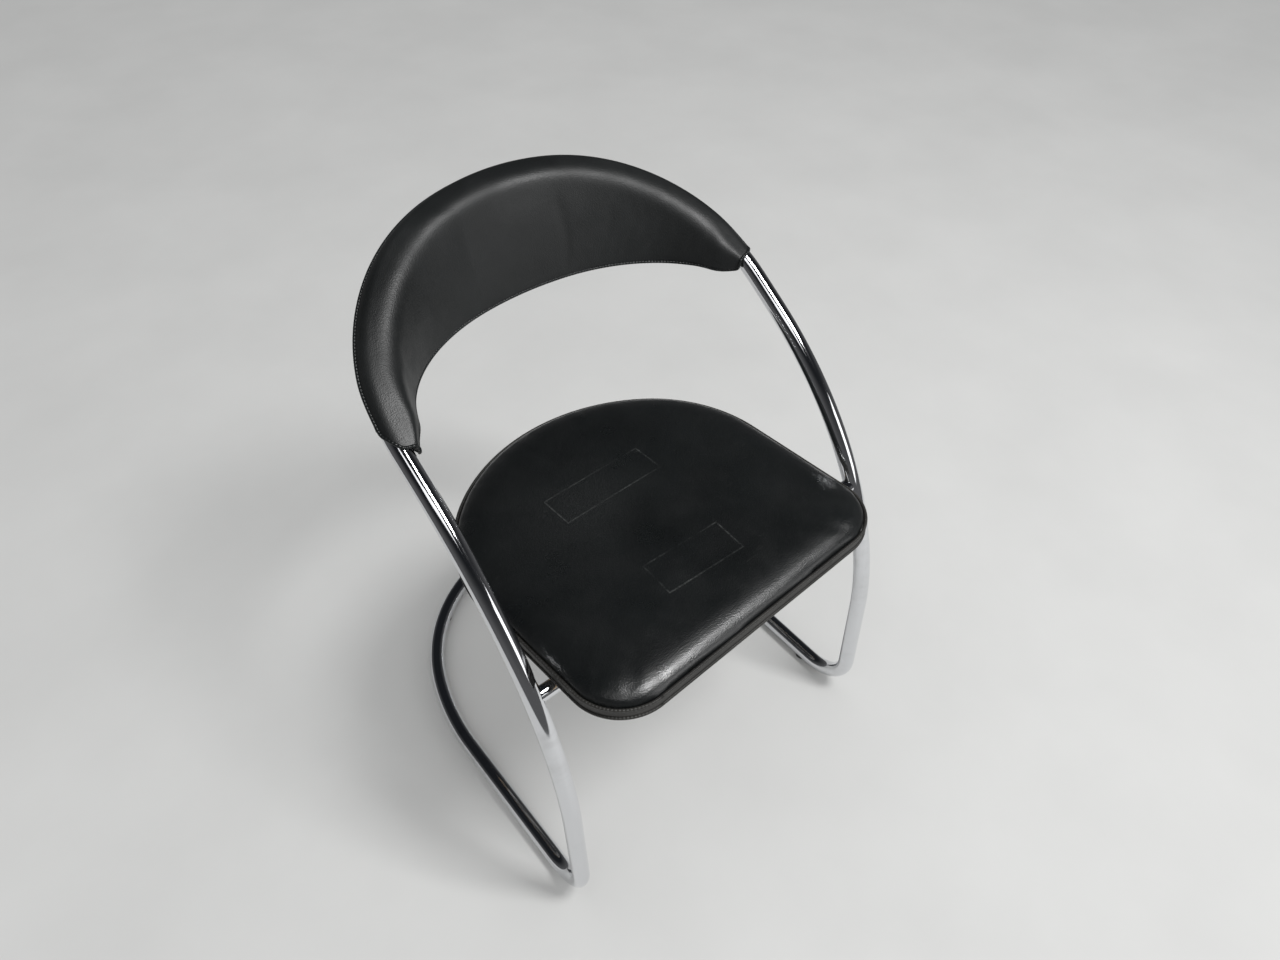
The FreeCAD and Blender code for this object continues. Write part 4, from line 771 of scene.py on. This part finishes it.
@dataclass
class Backrest:
    """Padded leather backrest, wrapped round the hoop's tube, with one welt round all its edge.

    The driving sizes are those of the hoop's solid. Names with tip are values at the two ends.
    """

    half_span: float = 0.268
    start_y: float = -0.02811
    start_z: float = 0.62932
    tilt: float = math.radians(32.2)
    run: float = 0.046
    side_radius: float = 0.250
    rear_radius: float = 0.337
    low_z: float = 0.6640
    end: float = 0.064
    slide: float = 0.012
    roll_radius: float = 0.0165
    rim_reach: float = 0.029
    rim_rise: float = 0.015
    face_reach: float = 0.032
    face_lean: float = 0.245
    edge_thick: float = 0.009
    tip_length: float = 0.020
    tip_reach: float = 0.0170
    tip_rim_rise: float = 0.013
    tip_edge_drop: float = 0.003
    tip_edge_thick: float = 0.003
    rim_soft: float = 0.018
    edge_round: float = 0.003
    welt_radius: float = 0.002
    welt_across: float = 0.22
    welt_angle: float = math.radians(24)
    welt_pitch: float = 0.0028
    seam_hold: float = 0.006
    slim_radius: float = 0.0131
    slim_length: float = 0.075
    reach_length: float = 0.036
    swell: float = 0.0030
    pitch: float = 0.007
    cuts: dict[Side, EndCut] = field(default_factory=lambda: {
        Side.RIGHT: EndCut(0.006, 1.4, 1.28, 0.0155), Side.LEFT: EndCut(0.0015, 0.45, 0.45, 0.0065)})

    def sweep_angle(self) -> float:
        """Sweep of each side bend."""
        return math.acos((self.half_span - self.side_radius) / (self.rear_radius - self.side_radius))

    def half_length(self) -> float:
        """Length of the tube's axis from the start of the hoop to its middle."""
        angle = self.sweep_angle()
        return self.run + self.side_radius * angle + self.rear_radius * (math.pi / 2 - angle)

    def end_of(self, side: Side) -> float:
        """Where the leather ends on one side, from the start of the hoop."""
        return self.end + side.value * self.slide

    def station(self, distance: float) -> HoopStation:
        """Section at a distance from the start of the hoop on the sitter's right."""
        angle = self.sweep_angle()
        half = self.half_length()
        side = Side.RIGHT if distance <= half else Side.LEFT
        along = distance if side is Side.RIGHT else 2 * half - distance
        if along <= self.run:
            x, y, heading = self.half_span, along, 0.0
        elif along <= self.run + self.side_radius * angle:
            heading = (along - self.run) / self.side_radius
            x = self.half_span - self.side_radius * (1 - math.cos(heading))
            y = self.run + self.side_radius * math.sin(heading)
        else:
            heading = angle + (along - self.run - self.side_radius * angle) / self.rear_radius
            x = self.rear_radius * math.cos(heading)
            rear_y = self.run + (self.side_radius - self.rear_radius) * math.sin(angle)
            y = rear_y + self.rear_radius * math.sin(heading)
        sign = side.value
        centre = Vector((sign * x, self.start_y + y * math.cos(self.tilt), self.start_z + y * math.sin(self.tilt)))
        plan = Vector((-sign * math.sin(heading), math.cos(heading) * math.cos(self.tilt), 0)).normalized()
        tangent = Vector((-sign * math.sin(heading), math.cos(heading) * math.cos(self.tilt),
                          math.cos(heading) * math.sin(self.tilt)))
        from_end = along - self.end_of(side)
        part = min(1.0, max(0.0, 1 - from_end / self.tip_length))
        return HoopStation(centre, Vector((sign * plan.y, -sign * plan.x, 0)), tangent,
                           1 / math.hypot(tangent.x, tangent.y), 1 - math.sqrt(1 - part * part),
                           centre.z - self.low_z, from_end, self.cuts[side])

    def edge(self, spot: HoopStation, across: float, up: float = 0.0) -> Vector:
        """Lower edge in the flat drawing, from 0 at the inner face to 1 at the back."""
        low = spot.towards_tip(-spot.drop, -self.tip_edge_drop)
        reach = self.reach(spot, self.face_reach) - self.face_lean * min(low, 0)
        room = reach - self.radius(spot) - 0.0008
        thick = min(spot.towards_tip(self.edge_thick, self.tip_edge_thick), room)
        return Vector((across * thick - reach, (low + up) / spot.stretch))

    def reach(self, spot: HoopStation, value: float) -> float:
        """Reach inwards from the tube's axis, which shrinks towards the ends."""
        part = min(1.0, max(0.0, 1 - spot.from_end / self.reach_length))
        return value + (self.tip_reach - value) * part ** 1.5

    def radius(self, spot: HoopStation) -> float:
        """Radius of the roll, which gets slim towards the ends."""
        part = min(1.0, max(0.0, spot.from_end / self.slim_length))
        return self.slim_radius + (self.roll_radius - self.slim_radius) * part * part * (3 - 2 * part)

    def outline(self, spot: HoopStation) -> list[Vector]:
        """Outline of the pad's section: inner face, soft rim, roll, back and lower edge."""
        radius = self.radius(spot)
        rim = Vector((-self.reach(spot, self.rim_reach),
                      spot.towards_tip(self.rim_rise, self.tip_rim_rise) / spot.stretch))
        lip = self.edge(spot, 0.0)
        corner = self.edge(spot, 1.0)
        top = math.atan2(rim.y, rim.x) - math.acos(radius / rim.length)
        below = math.atan2(corner.y, corner.x)
        below = below - math.tau if below > 0 else below
        foot = below + math.acos(radius / corner.length)
        start = Vector((math.cos(top), math.sin(top))) * radius
        end = Vector((math.cos(foot), math.sin(foot))) * radius
        soft = min(self.rim_soft, 0.4 * (rim - lip).length)
        edge = self.edge_round
        points = straight(lip, rim, 14, edge, soft)
        points += bend(rim, lip, start, soft, 7)
        points += straight(rim, start, 4, soft, 0.0)
        turns = [top + (foot - top) * step / 16 for step in range(16)]
        points += [Vector((math.cos(turn), math.sin(turn))) * radius for turn in turns]
        points += straight(end, corner, 10, 0.0, edge)
        points += bend(corner, end, lip, edge, 4)
        points += bend(lip, corner, rim, edge, 4)
        return points

    def distances(self) -> list[float]:
        """Distances of the sections, closer together at both rounded ends."""
        half = self.half_length()
        first = self.end_of(Side.RIGHT)
        last = 2 * half - self.end_of(Side.LEFT)
        tips = [self.tip_length * (1 - math.cos(math.pi / 2 * step / 6)) for step in range(6)]
        count = round((last - first - 2 * self.tip_length) / self.pitch)
        middle = [first + self.tip_length + (last - first - 2 * self.tip_length) * step / count
                  for step in range(count + 1)]
        return [first + tip for tip in tips] + middle + [last - tip for tip in reversed(tips)]

    def seam(self) -> list[tuple[Vector, Vector]]:
        """Closed line of the welt with its outward directions.

        It runs along the lower edge, over the end on the sitter's left, back along the
        outer side of the roll and over the other end.
        """
        spots = [self.station(distance) for distance in self.distances()]
        lower = [self.on_seam(spot, self.edge(spot, self.welt_across, -0.6 * self.welt_radius)) for spot in spots]
        side = Vector((math.cos(self.welt_angle), math.sin(self.welt_angle)))
        outer = [self.on_seam(spot, side * (self.radius(spot) + 0.25 * self.welt_radius)) for spot in spots]
        loop = lower + self.over_end(spots[-1]) + outer[::-1] + self.over_end(spots[0])[::-1]
        return even_loop(loop, self.welt_pitch)

    def over_end(self, spot: HoopStation) -> list[tuple[Vector, Vector]]:
        """Welt over one end, from the inner face up and across the roll to its outer side."""
        points = [place for place in self.outline(spot)
                  if place.y > 0 and math.atan2(place.y, place.x) > self.welt_angle]
        return [self.on_seam(spot, place * (1 + 0.3 * self.welt_radius / place.length)) for place in points]

    def on_seam(self, spot: HoopStation, place: Vector) -> tuple[Vector, Vector]:
        """Point of the welt's line and its direction away from the tube."""
        away = spot.out * place.x + Vector((0, 0, place.y * spot.stretch))
        return spot.point(place.x, place.y), away.normalized()

    def pad(self, material: bpy.types.Material) -> bpy.types.Object:
        """The padded leather form, swelling a little between the seams."""
        rings = []
        for distance in self.distances():
            spot = self.station(distance)
            rings.append([spot.point(place.x, place.y) for place in self.outline(spot)])
        piece = finish_piece(sweep(rings, closed=False), "back_padded_leather", material)
        seam = self.seam()
        tree = KDTree(len(seam))
        for index, (place, _) in enumerate(seam):
            tree.insert(place, index)
        tree.balance()
        Inflation(cap=self.swell).swell(piece, lambda point: max(0.0, 1 - tree.find(point)[2] / self.seam_hold))
        subdivide(piece)
        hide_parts("back_outer_leather", "back_inner_leather", "back_foam", "hoop_padding")
        return piece

    def welt(self, material: bpy.types.Material) -> bpy.types.Object:
        """Welt along the whole seam."""
        line = self.seam()
        rings = []
        for index, (place, away) in enumerate(line):
            ahead = (line[(index + 1) % len(line)][0] - line[index - 1][0]).normalized()
            across = ahead.cross(away).normalized()
            up = across.cross(ahead)
            rings.append([place + (across * u + up * v) * self.welt_radius for u, v in unit_circle(10)])
        piece = finish_piece(sweep(rings, closed=True), "back_piping", material)
        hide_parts("back_welt")
        return piece

    def build(self) -> list[bpy.types.Object]:
        """Build and dress the backrest."""
        shell = Plain("shell_plastic", (0.012, 0.012, 0.012), (0.022, 0.022, 0.022), 0.5, 500.0, 0.0001)
        wear_material("back_shell", shell.make())
        leather = Leather("back_leather", dark=(0.0048, 0.0058, 0.0060), light=(0.0120, 0.0138, 0.0140),
                          roughness=0.45, specular=0.7)
        piping = Leather("back_piping_leather", grain_depth=0.00015, stitch=0.0042)
        return [self.pad(leather.make()), self.welt(piping.make())]


def straight(start: Vector, end: Vector, count: int, skip: float, stop: float) -> list[Vector]:
    """Evenly spaced points of a straight, from skip after its start to just before stop ahead of its end."""
    along = (end - start).normalized()
    first = start + along * skip
    last = end - along * stop
    return [first + (last - first) * step / count for step in range(count)]


def bend(corner: Vector, before: Vector, after: Vector, reach: float, count: int) -> list[Vector]:
    """Points that round a corner between two straights."""
    first = corner + (before - corner).normalized() * reach
    last = corner + (after - corner).normalized() * reach
    return [first * (1 - t) ** 2 + corner * 2 * t * (1 - t) + last * t ** 2
            for t in (step / count for step in range(count))]


def even_loop(loop: Sequence[tuple[Vector, Vector]], pitch: float) -> list[tuple[Vector, Vector]]:
    """Evenly spaced and eased copy of a closed line with directions.

    Args:
        loop: points and directions; the last point leads on to the first.
        pitch: distance between the new points.

    Returns:
        Points and unit directions.
    """
    ends = list(loop) + [loop[0]]
    lengths = [(after[0] - before[0]).length for before, after in zip(ends, ends[1:])]
    total = sum(lengths)
    count = round(total / pitch)
    made = []
    index, passed = 0, 0.0
    for step in range(count):
        distance = total * step / count
        while passed + lengths[index] < distance:
            passed += lengths[index]
            index += 1
        share = (distance - passed) / max(lengths[index], 1e-9)
        made.append(tuple(before.lerp(after, share) for before, after in zip(ends[index], ends[index + 1])))
    for _ in range(3):
        made = [tuple(0.25 * last + 0.5 * here + 0.25 * coming
                      for last, here, coming in zip(made[index - 1], made[index], made[(index + 1) % count]))
                for index in range(count)]
    return [(place, away.normalized()) for place, away in made]


# Studio


@dataclass(frozen=True)
class Lamp:
    """Soft rectangular lamp aimed at the chair."""

    name: str
    place: tuple[float, float, float]
    size: tuple[float, float]
    power: float
    target: tuple[float, float, float] = (0.0, 0.0, 0.45)

    def hang(self) -> None:
        """Add the lamp to the scene."""
        data = bpy.data.lights.new(self.name, "AREA")
        data.shape = "RECTANGLE"
        data.size, data.size_y = self.size
        data.energy = self.power
        lamp = bpy.data.objects.new(self.name, data)
        lamp.visible_camera = False
        lamp.location = self.place
        aim = Vector(self.target) - lamp.location
        lamp.rotation_euler = aim.to_track_quat("-Z", "Y").to_euler()
        bpy.context.scene.collection.objects.link(lamp)


@dataclass
class Studio:
    """Pale floor, soft lamps and the camera."""

    azimuth: float = math.radians(-40.91)
    elevation: float = math.radians(46.30)
    roll: float = math.radians(-1.76)
    distance: float = 1.25883
    target: Vector = field(default_factory=lambda: Vector((0.0, -0.0727, 0.403)))
    target_pixel: tuple[float, float] = (638.44, 531.83)
    focal_pixels: float = 929.8
    width: int = 1280
    height: int = 960
    floor_colour: Colour = (0.62, 0.62, 0.61)
    floor_radius: float = 40.0
    sheet_radius: float = 1.7
    horizon_colour: Colour = (0.42, 0.42, 0.415)
    wall_colour: Colour = (0.10, 0.10, 0.102)
    ceiling_colour: Colour = (0.012, 0.013, 0.015)
    ambient: Colour = (0.68, 0.685, 0.69)
    lamps: tuple[Lamp, ...] = (
        Lamp("key_softbox", (0.86, -1.62, 3.50), (0.70, 1.15), 72.0),
        Lamp("front_window", (1.35, -3.0, 1.35), (1.5, 1.5), 13.0),
        Lamp("left_softbox", (-1.2, -1.5, 3.3), (1.7, 0.9), 6.5),
    )

    def camera(self) -> None:
        """Put the camera at the photograph's viewpoint."""
        back = Vector((math.sin(self.azimuth) * math.cos(self.elevation),
                       -math.cos(self.azimuth) * math.cos(self.elevation), math.sin(self.elevation)))
        ahead = -back
        level = ahead.cross(Vector((0, 0, 1))).normalized()
        down = ahead.cross(level)
        right = math.cos(self.roll) * level + math.sin(self.roll) * down
        lower = math.cos(self.roll) * down - math.sin(self.roll) * level
        across = (self.target_pixel[0] - self.width / 2) / self.focal_pixels * self.distance
        below = (self.target_pixel[1] - self.height / 2) / self.focal_pixels * self.distance
        place = self.target - right * across - lower * below - ahead * self.distance
        data = bpy.data.cameras.new("camera")
        data.sensor_fit = "HORIZONTAL"
        data.sensor_width = 36.0
        data.lens = 36.0 * self.focal_pixels / self.width
        camera = bpy.data.objects.new("camera", data)
        turn = Matrix((right, -lower, -ahead)).transposed().to_4x4()
        camera.matrix_world = Matrix.Translation(place) @ turn
        bpy.context.scene.collection.objects.link(camera)
        bpy.context.scene.camera = camera

    def floor(self) -> None:
        """Lay the pale floor: the sheet under the chair, and the rest, which no gloss shows."""
        graph = Graph("pale_floor")
        graph.set(Base_Color=graph.blend(graph.span(graph.noise(3.0, 5.0), 0.3, 0.7), self.floor_colour,
                                         tuple(0.94 * part for part in self.floor_colour)),
                  Roughness=0.75, Specular_IOR_Level=0.2)
        for name, inner, outer in (("floor", 0.0, self.sheet_radius),
                                   ("floor_beyond", self.sheet_radius, self.floor_radius)):
            mesh = bmesh.new()
            rim = bmesh.ops.create_circle(mesh, segments=96, radius=outer)["verts"]
            if inner:
                bmesh.ops.create_circle(mesh, segments=96, radius=inner)
                bmesh.ops.bridge_loops(mesh, edges=mesh.edges)
            else:
                bmesh.ops.contextual_create(mesh, geom=rim)
            data = bpy.data.meshes.new(name)
            mesh.to_mesh(data)
            mesh.free()
            floor = bpy.data.objects.new(name, data)
            floor.visible_glossy = not inner
            bpy.context.scene.collection.objects.link(floor)
            data.materials.append(graph.material)

    def world(self) -> None:
        """Pale horizon for the camera, a dim room for gloss and even light for everything matt."""
        world = bpy.data.worlds.new("studio")
        world.use_nodes = True
        tree = world.node_tree
        tree.nodes.clear()
        output, background, place, split, room, path = (
            tree.nodes.new(f"ShaderNode{kind}")
            for kind in ("OutputWorld", "Background", "TexCoord", "SeparateXYZ", "ValToRGB", "LightPath"))
        stops = room.color_ramp
        stops.elements[0].color = (*self.wall_colour, 1)
        stops.elements[1].position = 0.6
        stops.elements[1].color = (*self.ceiling_colour, 1)
        tree.links.new(place.outputs["Generated"], split.inputs["Vector"])
        tree.links.new(split.outputs["Z"], room.inputs["Fac"])
        colour = room.outputs["Color"]
        for ray, own in (("Is Diffuse Ray", self.ambient), ("Is Camera Ray", self.horizon_colour)):
            mix = tree.nodes.new("ShaderNodeMix")
            mix.data_type = "RGBA"
            tree.links.new(path.outputs[ray], mix.inputs["Factor"])
            before, after = (socket for socket in mix.inputs if socket.type == "RGBA")
            tree.links.new(colour, before)
            after.default_value = (*own, 1)
            colour = next(socket for socket in mix.outputs if socket.type == "RGBA")
        tree.links.new(colour, background.inputs["Color"])
        tree.links.new(background.outputs["Background"], output.inputs["Surface"])
        bpy.context.scene.world = world

    def build(self) -> None:
        """Set up the whole studio."""
        self.camera()
        self.floor()
        self.world()
        for lamp in self.lamps:
            lamp.hang()
        bpy.context.scene.view_settings.view_transform = "Standard"


def main() -> None:
    """Build the chair and its studio."""
    logging.basicConfig(level=logging.INFO, format="%(message)s")
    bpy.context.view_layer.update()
    TubeFrame().dress()
    for assembly in (SeatPad(), Backrest()):
        for piece in assembly.build():
            LOG.info("%s: %d faces", piece.name, len(piece.data.polygons))
    Studio().build()
    bpy.context.view_layer.update()


if __name__ == "__main__":
    main()
